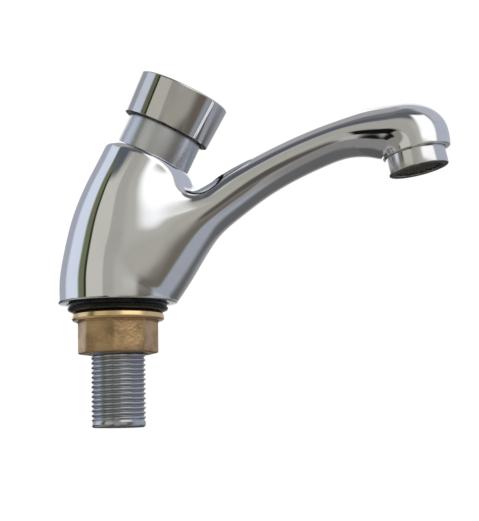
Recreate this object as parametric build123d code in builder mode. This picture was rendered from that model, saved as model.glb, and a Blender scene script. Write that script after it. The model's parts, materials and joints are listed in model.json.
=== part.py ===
from build123d import *
import math
import os

# A self-closing pillar tap, in millimetres. The origin is the centre of the body's foot, where it stands on
# the deck. +Z is up and +X points to the outlet. The cartridge leans towards the spout: its heights are
# measured from the rim of the neck, up its own axis. Heights at the outlet are measured from the hood's rim.

# Clearances
thread_gap = 0.04
ring_squeeze = 0.02
slide_gap = 0.05
skirt_gap = 0.35
loose_gap = 0.6
seat_gap = 0.02
overrun = 1.0

# Body, outside
foot_radius = 23.0
foot_height = 9.0
foot_edge = 0.7
cartridge_tilt = 26.5
rim_reach = 14.2
rim_height = 56.35
neck_radius = 19.2
neck_height = 18.0
rim_edge = 3.2

# Spout and hood
outlet_reach = 115.4
outlet_height = 53.5
outlet_tilt = 11.5
spout_depth = 15.0
spout_width = 24.0
hood_radius = 13.1
casting_wall = 2.6

# Threaded tail and what clamps the tap to the deck
shank_radius = 10.4
shank_bore = 7.0
shank_reach = 47.2
shank_land = 2.0
thread_pitch = 1.814
thread_depth = 1.16
thread_crest = 0.32
thread_root = 0.28
socket_depth = 10.0
shank_seal_thickness = 1.4
gasket_inset = 4.2
gasket_recess = 1.6
gasket_drop = 1.4
gasket_edge = 0.4
recess_gap = 0.8
washer_hole_gap = 0.6
washer_overhang = 0.55
washer_thickness = 2.3
washer_taper = 3.05
washer_round = 0.45
nut_flange_radius = 17.8
nut_flange = 3.0
nut_cone = 0.9
nut_flats = 28.6
nut_height = 15.5
nut_chamfer = 0.7
nut_sides = 8

# Pocket that lightens the foot
boss_wall = 2.8
pocket_ledge = 1.4
pocket_height = 8.0

# Knob
knob_low_radius = 17.35
knob_high_radius = 18.4
knob_low = 12.0
knob_height = 17.2
knob_crown = 2.4
knob_edge = 1.0
knob_chamfer = 0.5
knob_boss_radius = 5.2
knob_boss = 6.8
stroke = 7.0

# Collar
collar_radius = 14.85
collar_bore = 12.2
collar_height = 14.0
collar_edge = 0.5
spigot_radius = 14.4
spigot_depth = 8.0

# Cartridge sleeve
sleeve_radius = 10.6
sleeve_bore = 9.0
sleeve_top = 6.0
sleeve_reach = 25.5
sleeve_flange = 2.0
ring_bore = 11.8
ring_section = 0.9
upper_ring = 12.5
lower_ring = 23.4
gallery_radius = 13.4
gallery_depth = 18.0
gallery_height = 6.0
window_height = 3.8
window_width = 4.2
window_count = 6

# Gland at the sleeve's top, its ring and the return spring
bush_depth = 5.5
bush_flange = 1.4
rod_ring_section = 0.85
rod_ring_depth = 3.0
spring_radius = 7.2
spring_wire = 1.2
spring_turns = 6

# Rod and lock nut
rod_radius = 3.0
rod_tail_radius = 2.2
rod_shoulder_radius = 4.4
rod_shoulder = 0.8
rod_end_gap = 0.6
lock_nut_flats = 10.0
lock_nut_height = 3.0

# Piston, at rest near the sleeve's top
piston_top = 2.0
piston_height = 4.5
piston_gap = 0.3
piston_flange = 1.3
piston_hub_radius = 7.3
lip_height = 2.2
lip_base = 1.0
lip_wall = 0.65
clip_radius = 4.9
clip_thickness = 0.8
clip_mouth = 3.4
clip_groove = 0.7
bleed_radius = 0.6
bleed_gap = 0.15
bleed_circle = 6.0
bleed_stand = 0.5

# Valve, below the sleeve
seat_hole = 5.2
seat_thickness = 3.0
seat_gasket_thickness = 1.0
seat_gasket_bore = 8.8
seat_lip = 2.0
seat_lip_wall = 1.1
seat_lip_edge = 0.25
valve_washer_radius = 7.3
valve_washer_thickness = 2.2
valve_plate_thickness = 1.6
valve_plate_wall = 0.6
valve_plate_rim = 1.3
valve_screw_head = 1.6
valve_screw_head_radius = 3.2
valve_screw_radius = 1.5
valve_screw_reach = 5.0
valve_slot = 0.8
chamber_spare = 1.5
inlet_radius = 5.5

# Aerator
ring_radius = 11.5
ring_drop = 6.7
ring_sink = 1.2
ring_wall = 1.7
ring_lip = 0.9
ring_lip_height = 0.8
ring_edge = 0.4
hood_recess_gap = 0.5
aerator_thread_radius = 11.2
aerator_thread = 4.4
aerator_washer_thickness = 1.4
aerator_washer_bore = 8.2
insert_wall = 1.9
insert_plate = 1.6
insert_hole = 0.65
insert_circle = 5.4
insert_holes = 12
mesh_thickness = 0.5
mesh_cell = 1.7
mesh_bar = 0.45

# Strainer in the tail's mouth
strainer_inset = 0.8
strainer_flange = 1.0
strainer_wall = 0.5
strainer_radius = 5.2
strainer_height = 9.0
strainer_slot = 1.1
strainer_slot_height = 5.0
strainer_slots = 8

# Sections of the trunk between the foot's straight wall and the neck's foot: how far along in reach and in
# height, how much of the tilt, and how much of the step from the neck's radius to the foot's.
trunk_shares = (
    (0.12, 0.25, 0.26, 0.79),
    (0.36, 0.56, 0.55, 0.53),
    (0.62, 0.79, 0.83, 0.21),
)
foot_shares = (0.35, 0.7, 1.0)
neck_shares = (1.0, 0.6, 0.3)

# Sections of the spout's outside: reach and height as shares of the outlet's, depth and width as shares of
# the slimmest section's, and the angle at which the spout climbs there. The first is the flare in the foot.
root_reach_share = 0.13
root_depth_share = 1.72
root_width_share = 1.6
spout_shares = (
    (0.098, 0.243, 2.40, 1.50, 75.0),
    (0.175, 0.448, 2.07, 1.36, 60.0),
    (0.256, 0.599, 1.67, 1.24, 46.0),
    (0.327, 0.668, 1.247, 1.15, 34.0),
    (0.392, 0.761, 1.173, 1.09, 31.5),
    (0.477, 0.872, 1.093, 1.04, 27.7),
    (0.575, 0.980, 1.033, 1.01, 22.8),
    (0.695, 1.084, 1.0, 1.0, 19.0),
    (0.767, 1.131, 1.02, 1.01, 16.5),
    (0.844, 1.154, 1.195, 1.045, 9.0),
    (0.901, 1.161, 1.36, 1.08, -14.0),
    (0.954, 1.148, 1.66, 1.11, -38.0),
    (0.990, 1.092, 1.79, 1.11, -60.0),
)
# Sections where one stretch of the spout ends and the next begins
spout_joints = (0, 4, 10, 14)
# Sections of the swelling that fills the flanks between the trunk and the spout, given in the same way
shoulder_shares = (
    (0.078, 0.037, 1.81, 1.19, 90.0),
    (0.058, 0.169, 2.48, 1.80, 78.0),
    (0.087, 0.386, 2.98, 1.84, 66.0),
    (0.133, 0.550, 2.98, 1.60, 58.0),
    (0.178, 0.678, 2.85, 1.41, 51.0),
    (0.213, 0.784, 2.35, 1.25, 45.0),
    (0.282, 0.768, 1.39, 0.90, 38.0),
)

# The waterway starts at the gallery, dips towards the spout's throat, follows the spout one wall inside it
# and runs out over the outlet. Its first and last sections are shares of the ones beside them.
mouth_depth_share = 0.8
mouth_width_share = 0.75
dip_along_share = 0.5
dip_share = 0.16
dip_depth_share = 0.7
dip_width_share = 0.9
hood_water_shares = (
    (0.867, 1.206, 0.9, 0.95, 5.0),
    (0.985, 1.224, 0.8, 0.85, -10.0),
)
insert_shares = (0.5, 1.0)
spout_water_sections = (4, 10)
water_joints = (0, 3, 10)


def leaning_frame(reach, height, tilt):
    """Half-section plane and axis of what is turned about an axis that tilts towards the outlet."""
    lean = math.radians(tilt)
    across = (math.cos(lean), 0, -math.sin(lean))
    along = (math.sin(lean), 0, math.cos(lean))
    return Plane(origin=(reach, 0, height), x_dir=across, z_dir=(0, -1, 0)), Axis((reach, 0, height), along)


def across_axis(axis, height):
    """Plane square to an axis, at a height along it."""
    spot = axis.position + axis.direction * height
    side = (axis.direction.Z, 0, -axis.direction.X)
    return Plane(origin=spot, x_dir=side, z_dir=axis.direction)


def spout_plane(reach, height, climb):
    """Plane across the spout: its X runs from the underside to the top, its normal along the spout."""
    turn = math.radians(climb)
    up = (-math.sin(turn), 0, math.cos(turn))
    along = (math.cos(turn), 0, math.sin(turn))
    return Plane(origin=(reach, 0, height), x_dir=up, z_dir=along)


def band(inner, outer, low, high, mode=Mode.ADD):
    """Draws a ring's half section in the open sketch: a rectangle between two radii and two heights."""
    with Locations((inner, low)):
        Rectangle(outer - inner, high - low, align=(Align.MIN, Align.MIN), mode=mode)


upright = Plane.XZ
leaning, lean_axis = leaning_frame(rim_reach, rim_height, cartridge_tilt)
# The outlet's axis points up and back, so the jet leans away from the body.
falling, fall_axis = leaning_frame(outlet_reach, outlet_height, -outlet_tilt)

# Heights of the clamping pieces under the foot, and the radii around them
gasket_radius = foot_radius - gasket_inset
washer_radius = gasket_radius + washer_overhang
gasket_low = -gasket_drop
washer_foot = gasket_low - washer_thickness
nut_shoulder = washer_foot - nut_flange
nut_foot = washer_foot - nut_height
nut_corner = nut_flats / 2 / math.cos(math.pi / nut_sides)
shank_top = socket_depth - shank_seal_thickness
recess_radius = gasket_radius + recess_gap
washer_hole = shank_radius + washer_hole_gap
boss_radius = shank_radius + thread_gap + boss_wall
pocket_radius = recess_radius - pocket_ledge

strainer_low = -shank_reach + strainer_inset
strainer_high = strainer_low + strainer_height

# The thread's grooves: a half section of one of them, and their heights up the tail
thread_low = -shank_reach + shank_land
thread_flank = (thread_pitch - thread_crest - thread_root) / 2
groove = (
    (shank_radius, 0),
    (shank_radius - thread_depth, thread_flank),
    (shank_radius - thread_depth, thread_flank + thread_root),
    (shank_radius, 2 * thread_flank + thread_root),
)
groove_heights = [
    thread_low + turn * thread_pitch for turn in range(int((shank_top - thread_low) / thread_pitch))
]

# Heights along the cartridge's axis: the knob, the piston, and the valve's pieces below the sleeve
knob_high = knob_low + knob_height
knob_roof = knob_high - knob_crown
boss_low = knob_roof - knob_boss
skirt_radius = collar_radius + skirt_gap
piston_low = -piston_top - piston_height
lip_foot = piston_low + piston_flange
clip_high = -piston_top + clip_thickness
seat_low = -sleeve_reach - seat_thickness
bore_floor = seat_low - seat_gasket_thickness
lip_low = seat_low - seat_lip
washer_high = lip_low - seat_gap
washer_low = washer_high - valve_washer_thickness
plate_low = washer_low - valve_plate_thickness
screw_low = plate_low - valve_screw_head
chamber_floor = screw_low - stroke - chamber_spare
plate_radius = valve_washer_radius + valve_plate_wall
chamber_radius = plate_radius + loose_gap
flange_low = -spigot_depth - sleeve_flange
gallery_low = -gallery_depth - gallery_height / 2
gallery_high = -gallery_depth + gallery_height / 2
ring_heights = (-upper_ring, -lower_ring)
groove_radius = ring_bore - 2 * ring_section
bush_high = sleeve_top + bush_flange
rod_hole = rod_radius + slide_gap

# Slanted passage from the middle of the tail's socket to the inlet chamber
chamber_spot = lean_axis.position + lean_axis.direction * (chamber_floor + inlet_radius)
inlet_run = chamber_spot - Vector(0, 0, socket_depth)
inlet_start = Vector(0, 0, socket_depth) - inlet_run.normalized() * inlet_radius

# Heights up the outlet's axis
aerator_top = ring_sink + aerator_thread
aerator_roof = aerator_top + aerator_washer_thickness
ring_bore_radius = ring_radius - ring_wall
mesh_low = -ring_drop + ring_lip_height
mesh_rows = 2 * int(ring_bore_radius / mesh_cell) + 1
insert_radius = ring_bore_radius - thread_gap

# Sections of the spout, as plane, depth and width
spout_frames = [
    (
        Plane(origin=(foot_radius * root_reach_share, 0, 0), x_dir=(-1, 0, 0), z_dir=(0, 0, 1)),
        foot_radius * root_depth_share,
        foot_radius * root_width_share,
    )
]
for reach, height, depth, width, climb in spout_shares:
    plane = spout_plane(outlet_reach * reach, outlet_height * height, climb)
    spout_frames.append((plane, spout_depth * depth, spout_width * width))
spout_frames.append(
    (spout_plane(outlet_reach, outlet_height, outlet_tilt - 90), 2 * hood_radius, 2 * hood_radius)
)

# Sections of the waterway, in the same way
spout_water = spout_frames[spout_water_sections[0] : spout_water_sections[1]]
throat, throat_depth, throat_width = spout_water[0]
gallery_spot = lean_axis.position - lean_axis.direction * gallery_depth
gallery_wall = gallery_spot + leaning.x_dir * gallery_radius
dip_run = throat.origin - gallery_wall
dip_spot = gallery_wall + dip_run * dip_along_share - Vector(0, 0, dip_run.length * dip_share)
dip_climb = (spout_shares[spout_water_sections[0] - 1][-1] - cartridge_tilt) / 2
mouth_depth = gallery_height * mouth_depth_share
mouth_width = throat_width * mouth_width_share
slim_depth = spout_water[-1][1] - 2 * casting_wall
slim_width = spout_water[-1][2] - 2 * casting_wall
water_frames = [
    (spout_plane(gallery_spot.X, gallery_spot.Z, -cartridge_tilt), mouth_depth, mouth_width),
    (spout_plane(gallery_wall.X, gallery_wall.Z, -cartridge_tilt), mouth_depth, mouth_width),
    (
        spout_plane(dip_spot.X, dip_spot.Z, dip_climb),
        (throat_depth - 2 * casting_wall) * dip_depth_share,
        (throat_width - 2 * casting_wall) * dip_width_share,
    ),
]
for plane, depth, width in spout_water:
    water_frames.append((plane, depth - 2 * casting_wall, width - 2 * casting_wall))
for reach, height, depth, width, climb in hood_water_shares:
    plane = spout_plane(outlet_reach * reach, outlet_height * height, climb)
    water_frames.append((plane, slim_depth * depth, slim_width * width))
hood_water_height = (water_frames[-1][0].origin - fall_axis.position).dot(fall_axis.direction)

# Foot of the neck, where the trunk meets it
neck_foot = lean_axis.position - lean_axis.direction * neck_height

os.makedirs("parts", exist_ok=True)

with BuildPart() as body_casting:
    # Swelling over the flanks where the trunk and the spout meet, kept below the neck's rim
    for reach, height, depth, width, climb in shoulder_shares:
        with BuildSketch(spout_plane(outlet_reach * reach, outlet_height * height, climb)):
            Ellipse(spout_depth * depth / 2, spout_width * width / 2)
    loft()
    split(bisect_by=across_axis(lean_axis, -rim_edge), keep=Keep.BOTTOM)
    # Foot with a rounded lower edge
    with BuildSketch(upright) as foot_profile:
        band(0, foot_radius, 0, foot_height * foot_shares[0])
        fillet(foot_profile.vertices().sort_by(Axis.X)[-2:].sort_by(Axis.Y)[0], foot_edge)
    revolve(axis=Axis.Z)
    # Trunk that bends from the foot's straight wall into the leaning neck
    for share in foot_shares:
        with BuildSketch(Plane.XY.offset(foot_height * share)):
            Circle(foot_radius)
    for reach, height, lean, swell in trunk_shares:
        spot = (neck_foot.X * reach, 0, foot_height + (neck_foot.Z - foot_height) * height)
        with BuildSketch(spout_plane(spot[0], spot[2], 90 - cartridge_tilt * lean)):
            Circle(neck_radius + (foot_radius - neck_radius) * swell)
    for share in neck_shares:
        with BuildSketch(across_axis(lean_axis, -neck_height * share)):
            Circle(neck_radius)
    loft()
    # Rim with a rounded shoulder
    with BuildSketch(leaning) as rim_profile:
        band(0, neck_radius, -neck_height * neck_shares[-1], 0)
        fillet(rim_profile.vertices().sort_by(Axis.X)[-2:].sort_by(Axis.Y)[-1], rim_edge)
    revolve(axis=lean_axis)
    # Spout that flares out of the foot, and the hood that turns down over the outlet
    for first, last in zip(spout_joints, spout_joints[1:]):
        for plane, depth, width in spout_frames[first : last + 1]:
            with BuildSketch(plane):
                Ellipse(depth / 2, width / 2)
        loft()
    # Waterway from the cartridge's gallery to the outlet, one wall inside the spout
    for first, last in zip(water_joints, water_joints[1:]):
        for plane, depth, width in water_frames[first : last + 1]:
            with BuildSketch(plane):
                Ellipse(depth / 2, width / 2)
        loft(mode=Mode.SUBTRACT)
    # Bore for the cartridge: the collar's thread, the sleeve's bore with its gallery, the inlet chamber
    with BuildSketch(leaning):
        band(0, spigot_radius + thread_gap, flange_low, overrun)
        band(0, ring_bore, bore_floor, flange_low)
        band(0, gallery_radius, gallery_low, gallery_high)
        band(0, chamber_radius, chamber_floor, bore_floor)
    revolve(axis=lean_axis, mode=Mode.SUBTRACT)
    # Slanted passage from the tail's socket up to the chamber
    with BuildSketch(Plane(inlet_start, z_dir=inlet_run)):
        Circle(inlet_radius)
    extrude(amount=inlet_run.length + inlet_radius, mode=Mode.SUBTRACT)
    # Socket for the tail, recess for the gasket and the pocket round the socket's boss
    with BuildSketch(upright):
        band(0, shank_radius + thread_gap, -overrun, socket_depth)
        band(0, recess_radius, -overrun, gasket_recess)
        band(boss_radius, pocket_radius, gasket_recess, pocket_height)
    revolve(axis=Axis.Z, mode=Mode.SUBTRACT)
    # Mouth of the hood: thread for the aerator and the recess round its ring
    with BuildSketch(falling):
        band(0, ring_radius + hood_recess_gap, -overrun, ring_sink)
        band(0, aerator_thread_radius + thread_gap, ring_sink, aerator_roof)
        band(0, aerator_washer_bore, aerator_roof, hood_water_height)
    revolve(axis=fall_axis, mode=Mode.SUBTRACT)
body_casting.part.label = "body_casting"
export_step(body_casting.part, "parts/body_casting.step")

# Threaded tail, screwed into the foot. Its thread is drawn as rings at the true pitch and depth.
with BuildPart() as threaded_shank:
    with BuildSketch(upright):
        band(shank_bore, shank_radius, -shank_reach, shank_top)
        with Locations(*[(0, height) for height in groove_heights]):
            Polygon(*groove, align=None, mode=Mode.SUBTRACT)
    revolve(axis=Axis.Z)
threaded_shank.part.label = "threaded_shank"
export_step(threaded_shank.part, "parts/threaded_shank.step")

# Flat ring between the tail and the roof of its socket
with BuildPart() as shank_seal:
    with BuildSketch(upright):
        band(shank_bore, shank_radius - thread_gap, shank_top, socket_depth)
    revolve(axis=Axis.Z)
shank_seal.part.label = "shank_seal"
export_step(shank_seal.part, "parts/shank_seal.step")

# Sieve in the tail's mouth: a flanged cup with slots in its wall and holes through its end
with BuildPart() as inlet_strainer:
    with BuildSketch(upright):
        band(strainer_radius - strainer_wall, shank_bore, strainer_low, strainer_low + strainer_flange)
        band(strainer_radius - strainer_wall, strainer_radius, strainer_low, strainer_high)
        band(0, strainer_radius, strainer_high - strainer_wall, strainer_high)
    revolve(axis=Axis.Z)
    with BuildSketch(Plane.XY.offset(strainer_low + strainer_flange + strainer_slot)):
        with PolarLocations(strainer_radius, strainer_slots):
            Rectangle(2 * strainer_slot, strainer_slot)
    extrude(amount=strainer_slot_height, mode=Mode.SUBTRACT)
    with BuildSketch(Plane.XY.offset(strainer_high - strainer_wall)):
        with PolarLocations(strainer_radius / 2, strainer_slots):
            Circle(strainer_slot / 2)
    extrude(amount=strainer_wall, mode=Mode.SUBTRACT)
inlet_strainer.part.label = "inlet_strainer"
export_step(inlet_strainer.part, "parts/inlet_strainer.step")

# Rubber ring in the foot's recess, which stands proud of the foot
with BuildPart() as base_gasket:
    with BuildSketch(upright):
        band(washer_hole, gasket_radius, gasket_low, gasket_recess)
    revolve(axis=Axis.Z)
    chamfer(base_gasket.edges().group_by(Axis.Z)[0].sort_by(SortBy.LENGTH)[-1], gasket_edge)
base_gasket.part.label = "base_gasket"
export_step(base_gasket.part, "parts/base_gasket.step")

# Tapered rubber washer that the nut pushes up
with BuildPart() as clamp_washer:
    with BuildSketch(upright):
        Polygon(
            (washer_hole, washer_foot),
            (washer_radius - washer_taper, washer_foot),
            (washer_radius - washer_round, washer_foot + washer_thickness / 2),
            (washer_radius, gasket_low - washer_round),
            (washer_radius - washer_round, gasket_low),
            (washer_hole, gasket_low),
            align=None,
        )
    revolve(axis=Axis.Z)
clamp_washer.part.label = "clamp_washer"
export_step(clamp_washer.part, "parts/clamp_washer.step")

# Backnut: a round flange over an eight-sided body, bored to run on the thread's crests
with BuildPart() as backnut:
    with BuildSketch(Plane.XY.offset(nut_foot)):
        RegularPolygon(nut_flats / 2, nut_sides, major_radius=False, rotation=180 / nut_sides)
    extrude(amount=nut_height - nut_flange)
    with BuildSketch(upright):
        Polygon(
            (0, nut_foot),
            (nut_flats / 2 - nut_chamfer, nut_foot),
            (nut_corner, nut_foot + nut_chamfer * 2),
            (nut_corner, nut_shoulder),
            (0, nut_shoulder),
            align=None,
        )
    revolve(axis=Axis.Z, mode=Mode.INTERSECT)
    with BuildSketch(upright):
        Polygon(
            (0, nut_shoulder - nut_cone),
            (nut_corner, nut_shoulder - nut_cone),
            (nut_flange_radius - nut_chamfer, nut_shoulder),
            (nut_flange_radius, nut_shoulder + nut_chamfer / 2),
            (nut_flange_radius, washer_foot - nut_chamfer),
            (nut_flange_radius - nut_chamfer, washer_foot),
            (0, washer_foot),
            align=None,
        )
    revolve(axis=Axis.Z)
    with BuildSketch(upright):
        band(0, shank_radius + slide_gap, nut_foot, washer_foot)
        Polygon(
            (0, nut_foot),
            (shank_radius + nut_chamfer, nut_foot),
            (0, nut_foot + shank_radius + nut_chamfer),
            align=None,
        )
    revolve(axis=Axis.Z, mode=Mode.SUBTRACT)
backnut.part.label = "backnut"
export_step(backnut.part, "parts/backnut.step")

# Chrome collar that screws into the rim and clamps the cartridge
with BuildPart() as bonnet_collar:
    with BuildSketch(leaning) as collar_profile:
        band(collar_bore, collar_radius, 0, collar_height)
        band(collar_bore, spigot_radius, -spigot_depth, 0)
        chamfer(collar_profile.vertices().sort_by(Axis.Y)[-2:].sort_by(Axis.X)[-1], collar_edge)
    revolve(axis=lean_axis)
bonnet_collar.part.label = "bonnet_collar"
export_step(bonnet_collar.part, "parts/bonnet_collar.step")

# Knob: a cap that widens upwards, its skirt round the collar and a boss for the rod
with BuildPart() as push_knob:
    with BuildSketch(leaning) as knob_profile:
        Polygon(
            (0, knob_low),
            (knob_low_radius, knob_low),
            (knob_high_radius, knob_high),
            (0, knob_high),
            align=None,
        )
        outer = knob_profile.vertices().filter_by(lambda corner: corner.X > skirt_radius)
        fillet(outer.sort_by(Axis.Y)[-1], knob_edge)
        outer = knob_profile.vertices().filter_by(lambda corner: corner.X > skirt_radius)
        chamfer(outer.sort_by(Axis.Y)[0], knob_chamfer)
        band(0, skirt_radius, knob_low, knob_roof, mode=Mode.SUBTRACT)
        band(rod_radius, knob_boss_radius, boss_low, knob_roof)
    revolve(axis=lean_axis)
push_knob.part.label = "push_knob"
export_step(push_knob.part, "parts/push_knob.step")

# Rod from the knob down through the gland, the piston and the seat to the valve
with BuildPart() as plunger_rod:
    with BuildSketch(leaning):
        band(0, rod_radius, washer_high, knob_roof - rod_end_gap)
        band(0, rod_tail_radius, plate_low, washer_high)
        band(0, rod_shoulder_radius, piston_low - rod_shoulder, piston_low)
        band(rod_radius - clip_groove, rod_radius, -piston_top, clip_high, mode=Mode.SUBTRACT)
        band(0, valve_screw_radius, plate_low, plate_low + valve_screw_reach, mode=Mode.SUBTRACT)
    revolve(axis=lean_axis)
plunger_rod.part.label = "plunger_rod"
export_step(plunger_rod.part, "parts/plunger_rod.step")

# Nut that locks the knob on the rod
with BuildPart() as knob_lock_nut:
    with BuildSketch(across_axis(lean_axis, boss_low - lock_nut_height)):
        RegularPolygon(lock_nut_flats / 2, 6, major_radius=False)
        Circle(rod_radius, mode=Mode.SUBTRACT)
    extrude(amount=lock_nut_height)
knob_lock_nut.part.label = "knob_lock_nut"
export_step(knob_lock_nut.part, "parts/knob_lock_nut.step")

# Piston with a hub for the lip ring and a hole for the bleed pin
with BuildPart() as timing_piston:
    with BuildSketch(leaning):
        band(rod_radius, sleeve_bore - piston_gap, piston_low, piston_low + piston_flange)
        band(rod_radius, piston_hub_radius, piston_low, -piston_top)
    revolve(axis=lean_axis)
    with BuildSketch(across_axis(lean_axis, piston_low)):
        with Locations((bleed_circle, 0)):
            Circle(bleed_radius + bleed_gap)
    extrude(amount=piston_height, mode=Mode.SUBTRACT)
timing_piston.part.label = "timing_piston"
export_step(timing_piston.part, "parts/timing_piston.step")

# Lip ring on the piston's hub
with BuildPart() as piston_lip_seal:
    with BuildSketch(leaning):
        Polygon(
            (piston_hub_radius, lip_foot),
            (sleeve_bore - piston_gap, lip_foot),
            (sleeve_bore - slide_gap, lip_foot + lip_height),
            (sleeve_bore - slide_gap - lip_wall, lip_foot + lip_height),
            (sleeve_bore - piston_gap - lip_wall, lip_foot + lip_base),
            (piston_hub_radius, lip_foot + lip_base),
            align=None,
        )
    revolve(axis=lean_axis)
piston_lip_seal.part.label = "piston_lip_seal"
export_step(piston_lip_seal.part, "parts/piston_lip_seal.step")

# Open ring that holds the piston on the rod
with BuildPart() as piston_clip:
    with BuildSketch(across_axis(lean_axis, -piston_top)):
        Circle(clip_radius)
        Circle(rod_radius - clip_groove, mode=Mode.SUBTRACT)
        with Locations((0, clip_radius)):
            Rectangle(clip_mouth, 2 * clip_radius, mode=Mode.SUBTRACT)
    extrude(amount=clip_thickness)
piston_clip.part.label = "piston_clip"
export_step(piston_clip.part, "parts/piston_clip.step")

# Pin that keeps the piston's bleed hole clear
with BuildPart() as bleed_pin:
    with BuildSketch(across_axis(lean_axis, piston_low - bleed_stand)):
        with Locations((bleed_circle, 0)):
            Circle(bleed_radius)
    extrude(amount=piston_height + 2 * bleed_stand)
bleed_pin.part.label = "bleed_pin"
export_step(bleed_pin.part, "parts/bleed_pin.step")

# Sleeve that the piston runs in, with its flange, two ring grooves and the outlet windows
with BuildPart() as cartridge_sleeve:
    with BuildSketch(leaning):
        band(sleeve_bore, sleeve_radius, -sleeve_reach, sleeve_top)
        band(sleeve_bore, spigot_radius - thread_gap, flange_low, -spigot_depth)
        for middle in ring_heights:
            low, high = middle - ring_section, middle + ring_section
            band(groove_radius, sleeve_radius, low, high, mode=Mode.SUBTRACT)
    revolve(axis=lean_axis)
    with BuildSketch(across_axis(lean_axis, -gallery_depth - window_height / 2)):
        with PolarLocations(sleeve_radius, window_count):
            Rectangle(2 * sleeve_radius - 2 * piston_hub_radius, window_width)
    extrude(amount=window_height, mode=Mode.SUBTRACT)
cartridge_sleeve.part.label = "cartridge_sleeve"
export_step(cartridge_sleeve.part, "parts/cartridge_sleeve.step")

# The two rings that seal the sleeve in the body
with BuildPart() as sleeve_o_rings:
    with BuildSketch(leaning):
        with Locations(*[(groove_radius + ring_section, height) for height in ring_heights]):
            Circle(ring_section - ring_squeeze)
    revolve(axis=lean_axis)
sleeve_o_rings.part.label = "sleeve_o_rings"
export_step(sleeve_o_rings.part, "parts/sleeve_o_rings.step")

# Gland that closes the sleeve and guides the rod
with BuildPart() as rod_bush:
    with BuildSketch(leaning):
        band(rod_hole, sleeve_bore, sleeve_top - bush_depth, sleeve_top)
        band(rod_hole, sleeve_radius, sleeve_top, bush_high)
        band(
            rod_hole,
            rod_hole + 2 * rod_ring_section,
            sleeve_top - rod_ring_depth - rod_ring_section,
            sleeve_top - rod_ring_depth + rod_ring_section,
            mode=Mode.SUBTRACT,
        )
    revolve(axis=lean_axis)
rod_bush.part.label = "rod_bush"
export_step(rod_bush.part, "parts/rod_bush.step")

# Ring that seals the rod in the gland
with BuildPart() as rod_o_ring:
    with BuildSketch(leaning):
        with Locations((rod_hole + rod_ring_section, sleeve_top - rod_ring_depth)):
            Circle(rod_ring_section - ring_squeeze)
    revolve(axis=lean_axis)
rod_o_ring.part.label = "rod_o_ring"
export_step(rod_o_ring.part, "parts/rod_o_ring.step")

# Spring between the gland and the knob's crown
with BuildPart() as return_spring:
    with BuildLine() as coil:
        Helix(
            (knob_roof - bush_high - spring_wire) / spring_turns,
            knob_roof - bush_high - spring_wire,
            spring_radius,
            center=lean_axis.position + lean_axis.direction * (bush_high + spring_wire / 2),
            direction=lean_axis.direction,
        )
    with BuildSketch(Plane(origin=coil.line @ 0, z_dir=coil.line % 0)):
        Circle(spring_wire / 2)
    sweep(is_frenet=True)
return_spring.part.label = "return_spring"
export_step(return_spring.part, "parts/return_spring.step")

# Seat: a nozzle ring whose lip faces down to the valve
with BuildPart() as valve_seat:
    with BuildSketch(leaning):
        band(seat_hole, ring_bore - thread_gap, seat_low, -sleeve_reach)
        Polygon(
            (seat_hole, seat_low),
            (seat_hole, lip_low + seat_lip_edge),
            (seat_hole + seat_lip_edge, lip_low),
            (seat_hole + seat_lip_wall - seat_lip_edge, lip_low),
            (seat_hole + seat_lip_wall, seat_low),
            align=None,
        )
    revolve(axis=lean_axis)
valve_seat.part.label = "valve_seat"
export_step(valve_seat.part, "parts/valve_seat.step")

# Fibre ring under the seat
with BuildPart() as seat_gasket:
    with BuildSketch(leaning):
        band(seat_gasket_bore, ring_bore - thread_gap, bore_floor, seat_low)
    revolve(axis=lean_axis)
seat_gasket.part.label = "seat_gasket"
export_step(seat_gasket.part, "parts/seat_gasket.step")

# Rubber disc that closes on the lip
with BuildPart() as valve_washer:
    with BuildSketch(leaning):
        band(rod_tail_radius, valve_washer_radius, washer_low, washer_high)
    revolve(axis=lean_axis)
valve_washer.part.label = "valve_washer"
export_step(valve_washer.part, "parts/valve_washer.step")

# Cup that carries the rubber disc
with BuildPart() as valve_plate:
    with BuildSketch(leaning):
        band(rod_tail_radius, plate_radius, plate_low, washer_low)
        band(valve_washer_radius, plate_radius, washer_low, washer_low + valve_plate_rim)
    revolve(axis=lean_axis)
valve_plate.part.label = "valve_plate"
export_step(valve_plate.part, "parts/valve_plate.step")

# Slotted screw that holds the cup on the rod
with BuildPart() as valve_screw:
    with BuildSketch(leaning):
        band(0, valve_screw_head_radius, screw_low, plate_low)
        band(0, valve_screw_radius, plate_low, plate_low + valve_screw_reach - rod_end_gap)
    revolve(axis=lean_axis)
    with BuildSketch(across_axis(lean_axis, screw_low)):
        Rectangle(2 * valve_screw_head_radius, valve_slot)
    extrude(amount=valve_screw_head / 2, mode=Mode.SUBTRACT)
valve_screw.part.label = "valve_screw"
export_step(valve_screw.part, "parts/valve_screw.step")

# Chrome ring that screws into the hood and holds the aerator
with BuildPart() as aerator_housing:
    with BuildSketch(falling) as ring_profile:
        band(ring_bore_radius, ring_radius, -ring_drop, ring_sink)
        band(ring_bore_radius, aerator_thread_radius, ring_sink, aerator_top)
        band(ring_bore_radius - ring_lip, ring_bore_radius, -ring_drop, mesh_low)
        outer = ring_profile.vertices().group_by(Axis.X)[-1].sort_by(Axis.Y)[0]
        fillet(outer, ring_edge)
    revolve(axis=fall_axis)
aerator_housing.part.label = "aerator_housing"
export_step(aerator_housing.part, "parts/aerator_housing.step")

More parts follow.
